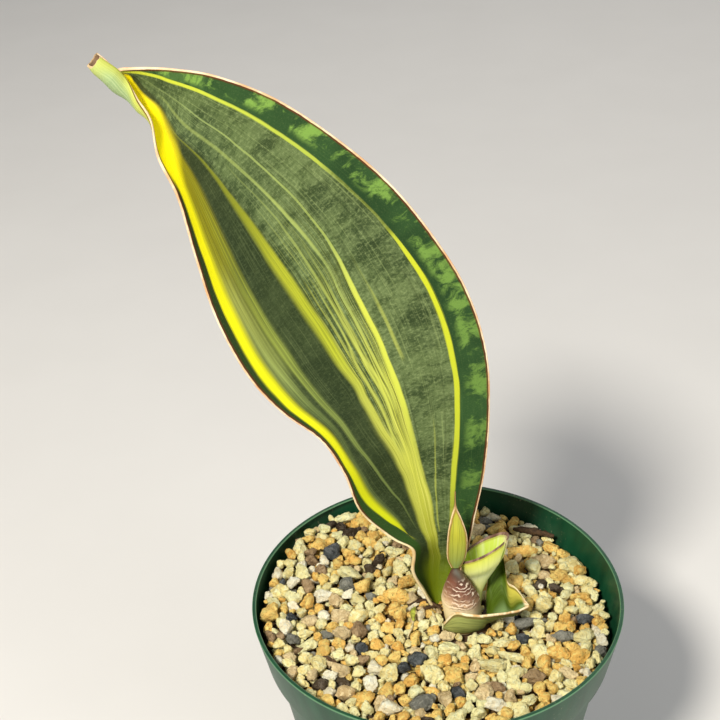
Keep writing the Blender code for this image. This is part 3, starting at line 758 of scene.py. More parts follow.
    # Inside the channel's foot and the tube, the back, the margins and the dried tip
    foot = g.mix(g.step(u, 0.2, 0.45), (40, 62, 16), (112, 128, 8))
    colour = g.layers(
        colour,
        (streaked(foot, 0.5, 0.64, 0.4, (66, 84, 10)), g.fall(row, 1.4, 3.0), 0.8),
        ((150, 164, 104), g.step(grain, 0.5, 0.8, 0.0, 0.1)),
        ((140, 112, 86), g.step(row, 15.8, 17.5)),
        (leaf_back(g, u, row, thin, cross, g.math("MAXIMUM", bright, olive)), side),
    )
    colour = leaf_margins(g, t, row, colour, from_left, from_right, along)
    tone = g.woven(along, 900, u, 9)
    dried = g.step(g.plus(t, g.sway(tone, 0.006)), 0.9925, 0.9965)
    colour = g.mix(dried, colour, g.mix(tone, (222, 200, 156), (166, 128, 88)))
    height = g.plus(g.times(fibre, 0.8), g.times(thin, 0.5), g.times(grain, 0.15), g.times(cross, 0.2))
    roughness = g.plus(0.46, g.times(broad, 0.12), g.times(grain, 0.12))
    return g.finish(colour, height, 0.0003, 0.6, roughness)


def make_main_leaf():
    surface = leaf_surface(MAIN_LEAF, 14, 64, (0.0, 0.05, 0.16, 0.35, 0.6, 0.95, 1.4, 2.2))
    half = blade_height(surface, *LEAF_THICKNESS, 0.07)
    row = surface["t"] * LEAF_ROWS
    # The tip is slimmer than the plain tube, its end uneven and cut back in front, its wall thin
    tip_axis = unit(np.array([-3.0, 0.1, 2.6]))
    outward = surface["normals"] @ unit(np.array([0.17, -0.93, 0.32]))
    slim = np.interp(row[:, :1], (15, 15.6, 16.2, 17, 18, 19), (1, 0.96, 0.84, 0.79, 0.8, 0.8))[..., None]
    points = surface["points"]
    crest = points[np.arange(len(points)), points[..., 2].argmax(axis=1)]
    crest = [np.convolve(np.pad(side, 4, "edge"), np.ones(9) / 9, "valid") for side in crest.T]
    crest = np.stack(crest, -1)[:, None]
    surface["points"] = crest + (points - crest) * slim
    cut = 1.5 * np.clip((outward + 0.4) / 1.2, 0, 1) * np.clip((row - 17.3) / 1.7, 0, 1) ** 2
    teeth = np.sin(13 * surface["u"]) * np.sin(31 * surface["u"])
    ragged = np.clip(row - 18, 0, 1) ** 2 * (0.3 + 0.18 * teeth)
    surface["points"] -= (cut + ragged)[..., None] * tip_axis
    hollow = -1.25 * half * np.clip((row - 16.5) / 2, 0, 1)
    leaf = add_blade("leaf", surface, half, leaf_material(), front=hollow)
    return dress(leaf, "main_leaf", "main_leaf")


# Sheath leaves

def cataphyll_material():
    g = Graph("cataphyll_skin", 0.42, 0.35)
    u, t, _, from_left, along, from_right = g.blade()
    veins = g.woven(u, 17, along, 40, 3, 0.6)
    fray = g.sway(g.noise(g.vector(g.times(along, 500)), 1.0, 2), 0.0006)
    near = g.plus(g.math("MINIMUM", from_left, from_right), fray)
    dry = g.mix(g.step(veins, 0.4, 0.6), (190, 146, 92), (138, 100, 60))
    colour = g.layers(
        g.mix(g.step(t, 0.0, 0.5), (116, 132, 70), (178, 176, 54)),
        ((136, 142, 48), g.step(u, 0.62, 0.95), 0.6),
        ((112, 120, 34), g.step(veins, 0.48, 0.64), 0.6),
        ((140, 92, 44), g.fall(near, 0.0009, 0.0015), 0.7),
        ((226, 196, 150), g.fall(near, 0.0004, 0.0008)),
        (dry, g.step(t, 0.72, 0.86)),
    )
    return g.finish(colour, veins, 0.0002, 0.6)


def sheath_material():
    g = Graph("sheath_skin", 0.55, 0.15)
    u, t, side, from_left, along, from_right = g.blade()
    veins = g.woven(u, 19, along, 60, 5, 0.66, 0.3)
    outside = g.layers(
        g.mix(g.step(t, 0.05, 0.4), (156, 162, 92), (94, 104, 52)),
        ((62, 72, 28), g.step(veins, 0.44, 0.66), 0.55),
        ((46, 54, 18), g.step(from_right, 0.005, 0.0125), 0.75),
    )
    patch = g.times(g.step(g.plus(t, g.times(veins, 0.12)), 0.72, 0.92), g.fall(u, 0.1, 0.6))
    # Inside: dark olive over the back half is painted shadow cast by the rolled leaf, turning to mint towards
    # the front rim.
    inside = g.layers(
        g.mix(g.step(u, 0.5, 0.8), (62, 80, 8), (140, 168, 112)),
        ((92, 118, 36), g.step(veins, 0.42, 0.66), 0.5),
        ((226, 212, 92), patch, 0.85),
    )
    fray = g.woven(along, 210, u, 4, 4, 0.6)
    near = g.plus(g.math("MINIMUM", from_left, from_right), g.sway(fray, 0.0007))
    dry = g.mix(g.step(fray, 0.4, 0.62), (240, 222, 184), (206, 168, 112))
    colour = g.layers(
        g.mix(side, inside, outside),
        ((104, 72, 36), g.step(near, 0.0008, 0.0012), g.fall(near, 0.0014, 0.0022), 0.7),
        (dry, g.fall(near, 0.0006, 0.001)),
        (dry, g.step(t, 0.93, 0.97)),
    )
    return g.finish(colour, veins, 0.0003, 0.6)


def make_cataphyll():
    surface = leaf_surface((*CATAPHYLL, AWN), 12, 26, (0.0, 0.08, 0.25, 0.5, 0.8))
    half = blade_height(surface, *SHEATH_THICKNESS) * (1 - 0.6 * surface["t"] ** 4)
    leaf = add_blade("cataphyll_leaf", surface, half, cataphyll_material())
    return dress(leaf, "cataphyll", "cataphyll")


def make_lower_sheath():
    surface = leaf_surface(LOWER_SHEATH, 14, 50, (0.0, 0.07, 0.22, 0.5, 0.85), (1.0, 0.0, 0.0))
    half = blade_height(surface, *SHEATH_THICKNESS, 0.05)
    ribs = 0.02 * np.cos(math.tau * 9 * surface["u"])
    leaf = add_blade("boat_sheath", surface, half, sheath_material(), back=ribs * (half > 0.29))
    return dress(leaf, "lower_sheath", "lower_sheath")


def rolled_material():
    g = Graph("rolled_skin", 0.45, 0.4)
    u, t, side, _, along, from_rim = g.blade()
    x = g.split(g.object_place())[0]
    veins = g.woven(u, 40, along, 25, 3, 0.6)
    lit = ((0.30, (206, 208, 130)), (0.62, (236, 242, 176)), (0.82, (238, 244, 150)), (0.95, (226, 232, 96)))
    outside = g.layers(g.ramp(t, lit), ((190, 204, 90), g.step(veins, 0.5, 0.7), 0.35))
    # Inside: darker green deep in the funnel is painted shade, growing yellow-green towards the mouth; the
    # pale streaks over it are a painted sheen.
    inside = g.layers(
        g.mix(g.step(t, 0.5, 0.9), (112, 134, 24), (206, 224, 92)),
        ((232, 238, 190), g.step(veins, 0.42, 0.65), 0.45),
    )
    papery = g.mix(g.step(veins, 0.4, 0.6), (238, 228, 196), (206, 186, 142))
    waver = g.noise(g.vector(g.times(u, 14)), 1.0, 4, 0.6)
    rim = g.plus(from_rim, g.sway(waver, 0.0014))
    dry = g.mix(g.step(waver, 0.4, 0.62), (92, 62, 46), (146, 116, 98))
    colour = g.layers(
        g.mix(side, inside, outside),
        (papery, g.step(x, 0.0265, 0.0285), g.step(t, 0.8, 0.9)),
        ((150, 132, 48), g.step(rim, 0.0008, 0.0012), g.fall(rim, 0.0014, 0.0022), 0.5),
        (dry, g.fall(rim, 0.0007, 0.0012)),
    )
    return g.finish(colour, veins, 0.0002, 0.5)


def make_rolled_leaf():
    spans = 14
    around = 110
    place = np.arange((len(ROLLED_LEAF) - 1) * spans + 1) / spans
    centres = through([row[0] for row in ROLLED_LEAF], place)
    wide = through([row[1] for row in ROLLED_LEAF], place)[:, None]
    deep = through([row[2] for row in ROLLED_LEAF], place)[:, None]
    tilt = through(np.radians([row[3] for row in ROLLED_LEAF]), place)
    first = math.radians(ROLLED_SEAM_ANGLE - ROLLED_SEAM_GAP / 2)
    u = np.broadcast_to(np.linspace(0, 1, around + 1), (len(place), around + 1))
    angle = first - (math.tau - math.radians(ROLLED_SEAM_GAP)) * u
    right = np.stack([np.cos(tilt), 0 * tilt, np.sin(tilt)], -1)[:, None]
    away = np.array([0.0, 1.0, 0.0])
    points = centres[:, None] + right * (wide * np.cos(angle))[..., None]
    points = points + away * (deep * np.sin(angle))[..., None]
    normals = unit(right * (deep * np.cos(angle))[..., None] + away * (wide * np.sin(angle))[..., None])
    along = np.concatenate([[0], np.cumsum(np.linalg.norm(np.diff(centres, axis=0), axis=1))])
    surface = {
        "points": points,
        "normals": normals,
        "u": u,
        "t": np.broadcast_to(place[:, None] / place[-1], u.shape),
        "from_left": u * math.tau * wide,
        "along": np.broadcast_to(along[:, None], u.shape),
        "from_right": np.broadcast_to(along[-1] - along[:, None], u.shape),
    }
    half = blade_height(surface, *SHEATH_THICKNESS, edge=surface["from_right"], least=0.1)
    leaf = add_blade("rolled_young_leaf", surface, half, rolled_material())
    return dress(leaf, "rolled_leaf", "rolled_leaf")


# Knob and crown

def knob_material():
    g = Graph("knob_skin", 0.6, 0.3)
    right, height, crown = g.attribute("skin")
    place = g.object_place()
    rough = g.noise(place, 700, 4, 0.6)
    uneven = g.noise(place, 160, 3, 0.5)
    wiggle = g.noise(place, 520, 2, 0.5)
    patchy = g.noise(place, 230, 3, 0.6)
    turns = g.plus(g.times(height, 92.0), g.times(right, 1.2), g.times(uneven, 22.0), g.times(wiggle, 9.0))
    rings = g.math("SINE", turns)
    ringed = g.times(
        g.step(height, 0.36, 0.5), g.fall(height, 0.8, 0.9), g.step(patchy, 0.42, 0.56, 0.1, 1.0),
        g.step(right, -0.9, -0.2, 0.35, 1.0),
    )
    # The ramp is pushed towards its darker browns on the right (+x) side, and a dark brown is laid over that
    # side: painted shade on the side away from the key light.
    colour = g.layers(
        g.ramp(g.plus(height, g.sway(rough, 0.08), g.times(right, 0.09)), (
            (0.0, (222, 202, 146)), (0.36, (246, 226, 180)), (0.52, (190, 154, 118)), (0.64, (132, 92, 70)),
            (0.80, (112, 68, 50)), (0.90, (84, 62, 48)), (1.0, (92, 88, 76)),
        )),
        # painted shade on the right side
        ((98, 72, 48), g.step(right, 0.35, 0.95), 0.6),
        ((236, 218, 194), g.step(rings, 0.45, 0.9), ringed, 0.8),
        ((78, 48, 34), g.fall(rings, -0.95, -0.3), ringed, 0.65),
        (g.mix(rough, (96, 70, 44), (52, 36, 24)), crown),
    )
    return g.finish(colour, g.plus(g.times(rough, 0.6), g.times(rings, ringed, 0.3)), 0.0004, 0.6, 0.62)


def ring_faces(rings, sides):
    """Quads between neighbouring rings of points, and a flat cap on each end."""
    index = np.arange(rings * sides).reshape(rings, sides)
    after = np.roll(index, -1, axis=1)
    faces = np.stack([index[:-1], index[1:], after[1:], after[:-1]], -1).reshape(-1, 4).tolist()
    return faces + [index[0].tolist(), index[-1, ::-1].tolist()]


def turned_rings(profile, sides):
    """Points and faces of a profile of (radius, height) turned round the Z axis, capped flat."""
    angle = np.arange(sides) * math.tau / sides
    radius, height = np.array(profile).T[..., None]
    points = np.stack([radius * np.cos(angle), radius * np.sin(angle), height + 0 * angle], -1)
    return points, ring_faces(len(profile), sides)


def make_rhizome():
    profile_radii, profile_heights = np.array(KNOB_PROFILE).T
    heights = np.linspace(profile_heights[0], profile_heights[-1], KNOB_RINGS)
    radii = np.interp(heights, profile_heights, profile_radii)
    span = (heights - heights[0]) / (heights[-1] - heights[0])
    ringed = np.clip((heights + 1) / 2, 0, 1) * np.clip((12 - heights) / 2, 0, 1)
    radii = radii + 0.06 * np.sin(heights * 3.59) * ringed
    points, faces = turned_rings(list(zip(radii, heights))[::-1], KNOB_SIDES)
    share = span[::-1, None]
    lump = 1 + 0.02 * np.sin(3 * np.arctan2(points[..., 1], points[..., 0]) + 4 * share)
    points[..., 0] = points[..., 0] * lump + KNOB_FOOT[0] + KNOB_LEAN[0] * share
    points[..., 1] = points[..., 1] * lump + KNOB_FOOT[1] + KNOB_LEAN[1] * share
    # How far round towards +x each point lies, which the knob's material darkens as painted shade
    turn = np.broadcast_to(np.cos(np.arange(KNOB_SIDES) * math.tau / KNOB_SIDES), points.shape[:2])
    skin = np.stack([turn, np.broadcast_to(share, points.shape[:2]), 0 * turn], -1).reshape(-1, 3)
    top = CROWN_TOP
    plug = (
        (0.02, top), (0.5, top - 0.1), (0.85, top - 0.5), (1.0, top - 2.0), (1.0, -38.0), (0.8, CROWN_BOTTOM),
    )
    crown, crown_faces = turned_rings(plug, CROWN_SIDES)
    crown = crown * (*CROWN_HALVES, 1.0) + (*CROWN_CENTRE, 0.0)
    crown = crown.reshape(-1, 3)
    crown[:, 2] += 0.3 * np.sin(crown[:, 0] * 1.7) * np.sin(crown[:, 1] * 1.9) - 0.3
    points = points.reshape(-1, 3)
    faces += [[number + len(points) for number in face] for face in crown_faces]
    crown_skin = np.tile([0.0, 0.0, 1.0], (len(crown), 1))
    points = above_rim(np.concatenate([points, crown]))
    skin = np.concatenate([skin, crown_skin])
    knob = add_mesh("knob", points, faces, knob_material(), BLADE_SHARP, skin=skin)
    return dress(knob, "rhizome", "rhizome")


# Pot

def outer_radius(height):
    """The pot's outer radius at a height above its base."""
    drop = RIM - height
    if drop <= COLLAR_HEIGHT:
        return RIM_RADIUS - COLLAR_TAPER * drop
    top = RIM_RADIUS - COLLAR_TAPER * COLLAR_HEIGHT
    if drop <= COLLAR_HEIGHT + STEP_DROP:
        return top - COLLAR_STEP * (drop - COLLAR_HEIGHT) / STEP_DROP
    top -= COLLAR_STEP
    share = (drop - COLLAR_HEIGHT - STEP_DROP) / (RIM - COLLAR_HEIGHT - STEP_DROP)
    return top + (BASE_RADIUS - top) * share


def rounded(corners, spans=4):
    """(radius, height) points of corners (radius, height, rounding), each rounded by a short arc."""
    path = []
    count = len(corners)
    for number, (x, y, size) in enumerate(corners):
        if number in (0, count - 1) or not size:
            path.append((x, y))
            continue
        here = np.array([x, y])
        before = np.array(corners[number - 1][:2]) - here
        after = np.array(corners[number + 1][:2]) - here
        start = here + before / np.linalg.norm(before) * min(size, np.linalg.norm(before) / 2)
        end = here + after / np.linalg.norm(after) * min(size, np.linalg.norm(after) / 2)
        for step in range(spans + 1):
            share = step / spans
            point = start * (1 - share) ** 2 + here * 2 * share * (1 - share) + end * share**2
            path.append(tuple(point))
    return path


def pot_material():
    g = Graph("pot_plastic", 0.4, 0.35)
    place = g.object_place()
    x, y, z = g.split(place)
    dust = g.noise(place, 38, 5, 0.6)
    specks = g.noise(place, 900, 2, 0.5)
    streaks = g.noise(g.vector(g.times(x, 160), g.times(y, 160), g.times(z, 12)), 1.0, 4, 0.6)
    across = g.math("SQRT", g.plus(g.times(x, x), g.times(y, y)))
    # Painted highlight: a pale green along the lip's outer and inner edges at its top, where the rounded
    # edges catch the light.
    edges = g.math(
        "MAXIMUM", g.step(across, RIM_RADIUS - 0.0004, RIM_RADIUS - 0.0001),
        g.fall(across, RIM_RADIUS - 0.0016, RIM_RADIUS - 0.0012),
    )
    colour = g.layers(
        g.mix(g.step(streaks, 0.3, 0.7), (12, 58, 35), (20, 72, 45)),
        ((120, 134, 104), g.step(dust, 0.45, 0.75), 0.16),
        # painted highlight on the lip's edges
        ((104, 148, 108), g.step(z, RIM - 0.0012, RIM - 0.0003), edges, 0.7),
        ((176, 166, 136), g.step(specks, 0.64, 0.74), g.step(dust, 0.4, 0.6), 0.3),
    )
    roughness = g.plus(0.3, g.times(dust, 0.25))
    return g.finish(colour, g.plus(streaks, g.times(specks, 0.2)), 0.0002, 0.25, roughness)


def make_pot():
    ledge = RIM - COLLAR_HEIGHT
    step = ledge - STEP_DROP
    foot = FLOOR_THICKNESS + BASE_CORNER
    inside = RIM_RADIUS - LIP_WIDTH
    corners = (
        (outer_radius(0.0) - WALL - BASE_CORNER, FLOOR_THICKNESS, 0),
        (outer_radius(foot) - WALL, foot, 0.002),
        (outer_radius(step) - WALL, step, 0.0008),
        (outer_radius(ledge) - WALL, ledge, 0.0008),
        (outer_radius(RIM - LIP_HEIGHT) - WALL, RIM - LIP_HEIGHT, 0.0002),
        (inside, RIM - LIP_HEIGHT, 0.0002),
        (inside, RIM, 0.0005),
        (RIM_RADIUS, RIM, 0.0005),
        (outer_radius(ledge), ledge, 0.0009),
        (outer_radius(step), step, 0.0012),
        (outer_radius(BASE_CORNER), BASE_CORNER, 0.002),
        (outer_radius(0.0) - BASE_CORNER, 0.0, 0),
    )
    points, faces = turned_rings(rounded(corners), POT_SIDES)
    pot = add_mesh("nursery_pot", points.reshape(-1, 3), faces, pot_material(), POT_SHARP)
    cutters = []
    for number in range(DRAIN_HOLES):
        angle = math.tau * number / DRAIN_HOLES
        bpy.ops.mesh.primitive_cylinder_add(
            vertices=DRAIN_SIDES,
            radius=DRAIN_RADIUS,
            depth=4 * FLOOR_THICKNESS,
            location=(DRAIN_CIRCLE * math.cos(angle), DRAIN_CIRCLE * math.sin(angle), 0.0),
        )
        cutters.append(bpy.context.object)
    for cutter in cutters:
        modifier = pot.modifiers.new("drain", "BOOLEAN")
        modifier.solver = "MANIFOLD"
        modifier.object = cutter
        bpy.context.view_layer.objects.active = pot
        bpy.ops.object.modifier_apply(modifier=modifier.name)
        bpy.data.objects.remove(cutter, do_unlink=True)
    pot.data.set_sharp_from_angle(angle=math.radians(POT_SHARP))
    return dress(pot, "pot", "pot")


# Grit

def slope(x, y, level):
    """A height of the sloped grit, in millimetres above the rim plane, with a low mound at the back."""
    mound_x, mound_y, spread_out, rise = MOUND
    away = (x - mound_x) ** 2 + (y - mound_y) ** 2
    return level + STONE_SLOPE_X * x + STONE_SLOPE_Y * y + rise * np.exp(-away / (2 * spread_out**2))


def bed_material():
    g = Graph("grit_bed", 0.9, 0.2)
    place = g.object_place()
    grains = g.cells(place, 420)
    colour = g.mix(g.step(grains, 0.1, 0.6), (150, 118, 72), (44, 34, 24))
    return g.finish(g.mix(g.noise(place, 700, 4), colour, (70, 52, 34)), grains, 0.001, 0.8)


def make_bed():
    """The filled soil under the stones, in the pot's own shape."""
    ledge = RIM - COLLAR_HEIGHT
    foot = FLOOR_THICKNESS + BASE_CORNER
    gap = WALL + 2 * CLEARANCE
    wall = [(outer_radius(height) - gap, height + CLEARANCE) for height in (ledge, ledge - STEP_DROP, foot)]
    wall.append((outer_radius(0.0) - gap - BASE_CORNER, FLOOR_THICKNESS + CLEARANCE))
    angle = np.arange(BED_SIDES) * math.tau / BED_SIDES
    turned = np.array([np.cos(angle), np.sin(angle)])

    def top(x, y):
        return RIM + slope(x / MM, y / MM, BED_LEVEL) * MM

    reach = np.array([outer_radius(height) for height in top(*RIM_RADIUS * turned)]) - gap
    rings = []
    for share in (0.02, 0.2, 0.4, 0.6, 0.8, 0.92, 1.0):
        x, y = share * reach * turned
        rings.append(np.stack([x, y, top(x, y)], -1))
    for radius, height in wall:
        rings.append(np.stack([*radius * turned, height + 0 * angle], -1))
    faces = ring_faces(len(rings), BED_SIDES)
    bed = add_mesh("grit_bed", np.concatenate(rings), faces, bed_material(), BED_SHARP)
    return dress(bed, "substrate", "substrate")


# Kinds of stone: share of all, two lit colours, and how porous the surface looks, which sets both the pits in
# its bump and the painted shade in them
STONE_KINDS = {
    "pale": (0.43, (255, 250, 188), (255, 234, 156), 0.7),
    "orange": (0.34, (255, 216, 124), (244, 188, 94), 1.0),
    "white": (0.09, (255, 248, 216), (250, 234, 192), 0.5),
    "tan": (0.08, (240, 216, 164), (214, 184, 132), 0.6),
    "brown": (0.03, (172, 144, 104), (132, 106, 76), 0.9),
    "grey": (0.02, (146, 144, 130), (118, 118, 108), 0.6),
    "black": (0.006, (94, 98, 98), (58, 62, 64), 1.0),
    "dark": (0.012, (92, 78, 58), (58, 46, 34), 1.0),
}
# Stones that catch the eye: place across and away, length, width, turn in degrees, kind
MARKED_STONES = (
    (-21, -53, 10, 8, 10, "white"), (19, -31, 11, 8, -8, "pale"), (-15, -32, 6, 5, 20, "black"),
    (-10, -28, 8, 7, 0, "black"), (-48, -41, 6, 6, 40, "dark"), (-42, 34, 10, 7, -10, "black"),
    (-34, 47, 9, 5, 35, "dark"), (60, -5, 8, 5, 0, "black"), (50, -16, 9, 6, -15, "grey"),
    (33, -16, 5, 6, 0, "black"), (25, -18, 8, 5, 10, "pale"), (34, -8, 14, 5, 10, "grey"),
    (58, -15, 9, 9, 50, "pale"), (62, 30, 10, 8, -25, "pale"), (62, 18, 10, 5, 0, "pale"),
    (41, 37, 9, 6, 0, "orange"), (46, 54, 9, 6, 5, "white"), (48, 30, 10, 7, 0, "tan"),
    (-16, 8, 10, 9, 0, "orange"), (-10, 2, 8, 3, 35, "white"), (-16, -9, 4, 8, -20, "orange"),
    (-35, 21, 12, 7, -15, "pale"), (-37, 57, 12, 6, 20, "pale"), (-46, 49, 6, 5, 0, "pale"),
    (-56, 37, 9, 7, 30, "pale"), (-52, -20, 6, 11, -35, "pale"), (-47, 8, 9, 6, 0, "white"),
    (-36, -21, 4, 6, 0, "white"), (-59, -4, 5, 5, 0, "black"), (-45, -14, 5, 5, 0, "grey"),
    (-27, 8, 4, 5, 0, "grey"), (-11, -45, 8, 6, 40, "pale"), (35, -37, 8, 6, 0, "brown"),
    (19, -43, 8, 6, 0, "brown"), (60, 8, 8, 6, 0, "orange"), (53, 22, 8, 7, 20, "orange"),
    (30, 60, 8, 5, 0, "white"), (54, -27, 10, 7, 0, "orange"), (7, -32, 6, 6, 0, "orange"),
    (44, 16, 7, 5, 30, "dark"), (51, 13, 7, 5, -20, "dark"), (-23, 30, 8, 5, 60, "dark"),
    (4, -37, 9, 8, 0, "orange"), (27, -26, 11, 5, -20, "pale"), (46, -25, 9, 8, 0, "orange"),
)


def stone_material(kind):
    _, first, second, porous = STONE_KINDS[kind]
    g = Graph(kind + "_stone", 0.9, 0.15)
    tone, seed, shade = g.attribute("stone")
    place = {0: g.object_place(), 1: g.vector(seed, seed, seed)}
    place = g.add("ShaderNodeVectorMath", place, operation="ADD").outputs[0]
    blotch = g.noise(place, 300, 4, 0.65)
    grain = g.noise(place, 1100, 5, 0.7)
    pores = g.cells(place, 900)
    lumps = g.noise(place, 560, 3, 0.6)
    # light, deep and dark are lit and shaded copies of the kind's colours.
    light = tuple(min(1.0, value * 1.12 + 0.05) for value in linear(first))
    deep = tuple(value * 0.7 for value in linear(second))
    dark = tuple(value * 0.42 for value in linear(second))
    # The pores are darkened: painted shade in them.
    shaded_pits = g.times(g.fall(pores, 0.08, 0.3), g.step(grain, 0.42, 0.56), porous)
    # Lighter where blotches and lumps stand high in the bump and darker where they and the grain sink: partly
    # the stone's own blotchy colour, partly painted highlights and painted shade that follow the bump.
    colour = g.layers(
        g.mix(tone, first, second),
        (light, g.step(blotch, 0.5, 0.62), 0.7),
        (deep, g.fall(blotch, 0.34, 0.46), 0.45),
        (light, g.step(lumps, 0.52, 0.64), 0.75),
        (deep, g.fall(lumps, 0.32, 0.43), 0.5),
        (dark, g.fall(grain, 0.36, 0.46), 0.2),
        (dark, shaded_pits, 0.75),
        (dark, shade),
    )
    height = g.plus(g.times(blotch, 0.8), g.times(lumps, 1.6), g.times(grain, 1.2), g.times(shaded_pits, -0.8))
    return g.finish(colour, height, 0.0016, 0.85)


def ball_mesh(cuts):
    """Unit directions and quads of a cube with cuts squares along each edge, blown up to a ball."""
    steps = np.tan(np.linspace(-1, 1, cuts + 1) * math.pi / 4)
    found = {}
    points = []
    faces = []
    for axis in range(3):
        for sign in (-1, 1):
            grid = np.zeros((cuts + 1, cuts + 1), int)
            for i, first in enumerate(steps):
                for j, second in enumerate(steps):
                    corner = np.roll([sign, first, second], axis)
                    key = tuple(np.round(corner, 6))
                    if key not in found:
                        found[key] = len(points)
                        points.append(corner / np.linalg.norm(corner))
                    grid[i, j] = found[key]
            for i in range(cuts):
                for j in range(cuts):
                    face = [grid[i, j], grid[i + 1, j], grid[i + 1, j + 1], grid[i, j + 1]]
                    faces.append(face if sign > 0 else face[::-1])
    return np.array(points), np.array(faces)


def stone_shapes(directions, draw, count):
    """Worn blocks: a ball cut by random planes, its edges rounded and its sides lumpy."""
    shapes = []
    for _ in range(count):
        planes = unit(draw.normal(size=(draw.integers(7, 12), 3)))
        offsets = draw.uniform(0.5, 0.9, len(planes))
        reach = np.clip(directions @ planes.T, 1e-3, None) / offsets
        worn = draw.uniform(18, 60)
        radius = ((reach**worn).sum(1) + 1) ** (-1 / worn)
        for pitch, depth in ((3.0, 0.06), (5.0, 0.04), (8.0, 0.035), (12.0, 0.028), (17.0, 0.02)):
            for _ in range(2):
                wave = directions @ unit(draw.normal(size=3)) * pitch + draw.uniform(0, math.tau)
                radius *= 1 + depth * np.sin(wave)
        radius *= draw.uniform(0.955, 1.045, len(radius))
        squash = np.array((1.0, draw.uniform(0.78, 0.98), draw.uniform(0.72, 0.95)))
        shapes.append(directions * radius[:, None] * squash)
    return shapes


def spread(draw, sizes, level, taken, near_plant):
    """Places stones of the given sizes, largest first, where they fit between those taken. Each is its
    place and its size."""
    stones = np.zeros((len(taken) + len(sizes), 4))
    stones[: len(taken)] = np.array(taken).reshape(-1, 4)
    count = len(taken)
    for size in sorted(sizes, reverse=True):
        for _ in range(TRIES):
            angle = draw.uniform(0, math.tau)
            away = (RIM_RADIUS / MM - RIM_MARGIN) * math.sqrt(draw.uniform())
            x = away * math.cos(angle)
            y = away * math.sin(angle)
            z = slope(x, y, level) + draw.uniform(-0.8, 0.8) + 0.2 * (size - 2.2)
            wall = (outer_radius(RIM + (z - 0.5 * size) * MM) - WALL) / MM - WALL_GAP
            if away + 0.92 * size > wall:
                continue
            offsets = (stones[:count, :3] - (x, y, z)) * (1, 1, 0.7)
            gaps = np.linalg.norm(offsets, axis=1) - PACKING * (stones[:count, 3] + size)
            if count and gaps.min() < 0:
                continue
            if near_plant(x, y, z) >= 0.9 * size:
                stones[count] = (x, y, z, size)
                count += 1
                break
    return stones[len(taken) : count]


def plant_distance(plant):
    """A function that gives the distance from a point to the plant's pieces, in millimetres."""
    places = []
    for piece in plant:
        points = np.empty(len(piece.data.vertices) * 3, np.float32)
        piece.data.vertices.foreach_get("co", points)
        points = (points.reshape(-1, 3) - (0, 0, RIM)) / MM
        low = points[(points[:, 2] < 4) & (points[:, 2] > -16)]
        places.extend(low[::2])
    tree = KDTree(len(places))
    for number, point in enumerate(places):
        tree.insert(point, number)
    tree.balance()
    return lambda x, y, z: tree.find((x, y, z))[2]


def make_stones(plant):
    draw = np.random.default_rng(SEED)
    near_plant = plant_distance(plant)
    marked = []
    for x, y, long, wide, _, _ in MARKED_STONES:
        marked.append((x, y, slope(x, y, STONE_LEVEL) + 0.3, (long + wide) / 4))
    sizes = np.concatenate([draw.uniform(*size) for size in TOP_SIZES])
    top = spread(draw, sizes, STONE_LEVEL, marked, near_plant)
    under = spread(draw, draw.uniform(*UNDER_SIZES), UNDER_LEVEL, [], near_plant)
    kinds = list(STONE_KINDS)
    shares = np.array([STONE_KINDS[kind][0] for kind in kinds])
    shares = shares / shares.sum()
    sets = []
    for cuts, count in (FINE_SHAPES, SHAPES, ROUGH_SHAPES):
        ball, faces = ball_mesh(cuts)
        sets.append((stone_shapes(ball, draw, count), faces))
    fine, plain, rough = sets
    heaps = {kind: [[], [], [], 0] for kind in kinds}

    def any_kind():
        return kinds[draw.choice(len(kinds), p=shares)]

    def any_shape(shapes, faces):
        return shapes[draw.integers(len(shapes))], faces

    def lay(kind, centre, size, shape, quads, turn, lean):
        """Adds a stone to its kind's heap, kept inside the pot's wall."""
        points, faces, looks, start = heaps[kind]
        spin = Matrix.Rotation(turn, 3, "Z") @ Matrix.Rotation(lean, 3, "X")
        moved = (shape * size) @ np.array(spin).T + centre
        away = np.hypot(moved[:, 0], moved[:, 1])
        wall = (RIM_RADIUS - WALL) / MM + COLLAR_TAPER * moved[:, 2] - WALL_GAP
        moved[:, :2] *= 1 - max(0.0, (away - wall).max()) / np.hypot(*centre[:2])
        points.append(moved)
        faces.append(quads + start)
        look = (draw.uniform(), draw.uniform(0, 9), 0.3 * draw.uniform() ** 4)
        looks.append(np.tile(look, (len(moved), 1)))
        heaps[kind][3] = start + len(moved)

    for x, y, z, size in top:
        kind = any_kind()
        shape, quads = any_shape(*(fine if size > FINE_FROM else plain))
        stretch = size * np.array((draw.uniform(1.0, 1.25), 1.0, draw.uniform(0.9, 1.1)))
        lay(kind, (x, y, z), stretch, shape, quads, draw.uniform(0, math.tau), draw.normal(0, 0.4))
    for x, y, z, size in under:
        kind = any_kind()
        lay(kind, (x, y, z), size, *any_shape(*rough), draw.uniform(0, math.tau), draw.normal(0, 0.4))
    for (x, y, long, wide, turn, kind), (_, _, z, _) in zip(MARKED_STONES, marked):
        size = MARKED_SCALE * np.array([long, wide, min(wide, 0.85 * long)]) / 2
        lay(kind, (x, y, z), size, *any_shape(*fine), math.radians(turn), 0.0)
    for kind, (points, quads, looks, _) in heaps.items():
        points = above_rim(np.concatenate(points))
        quads = np.concatenate(quads)
        looks = np.concatenate(looks)
        material = stone_material(kind)
        stones = add_mesh(kind + "_stones", points, quads, material, STONE_SHARP, stone=looks)
        dress(stones, "substrate")


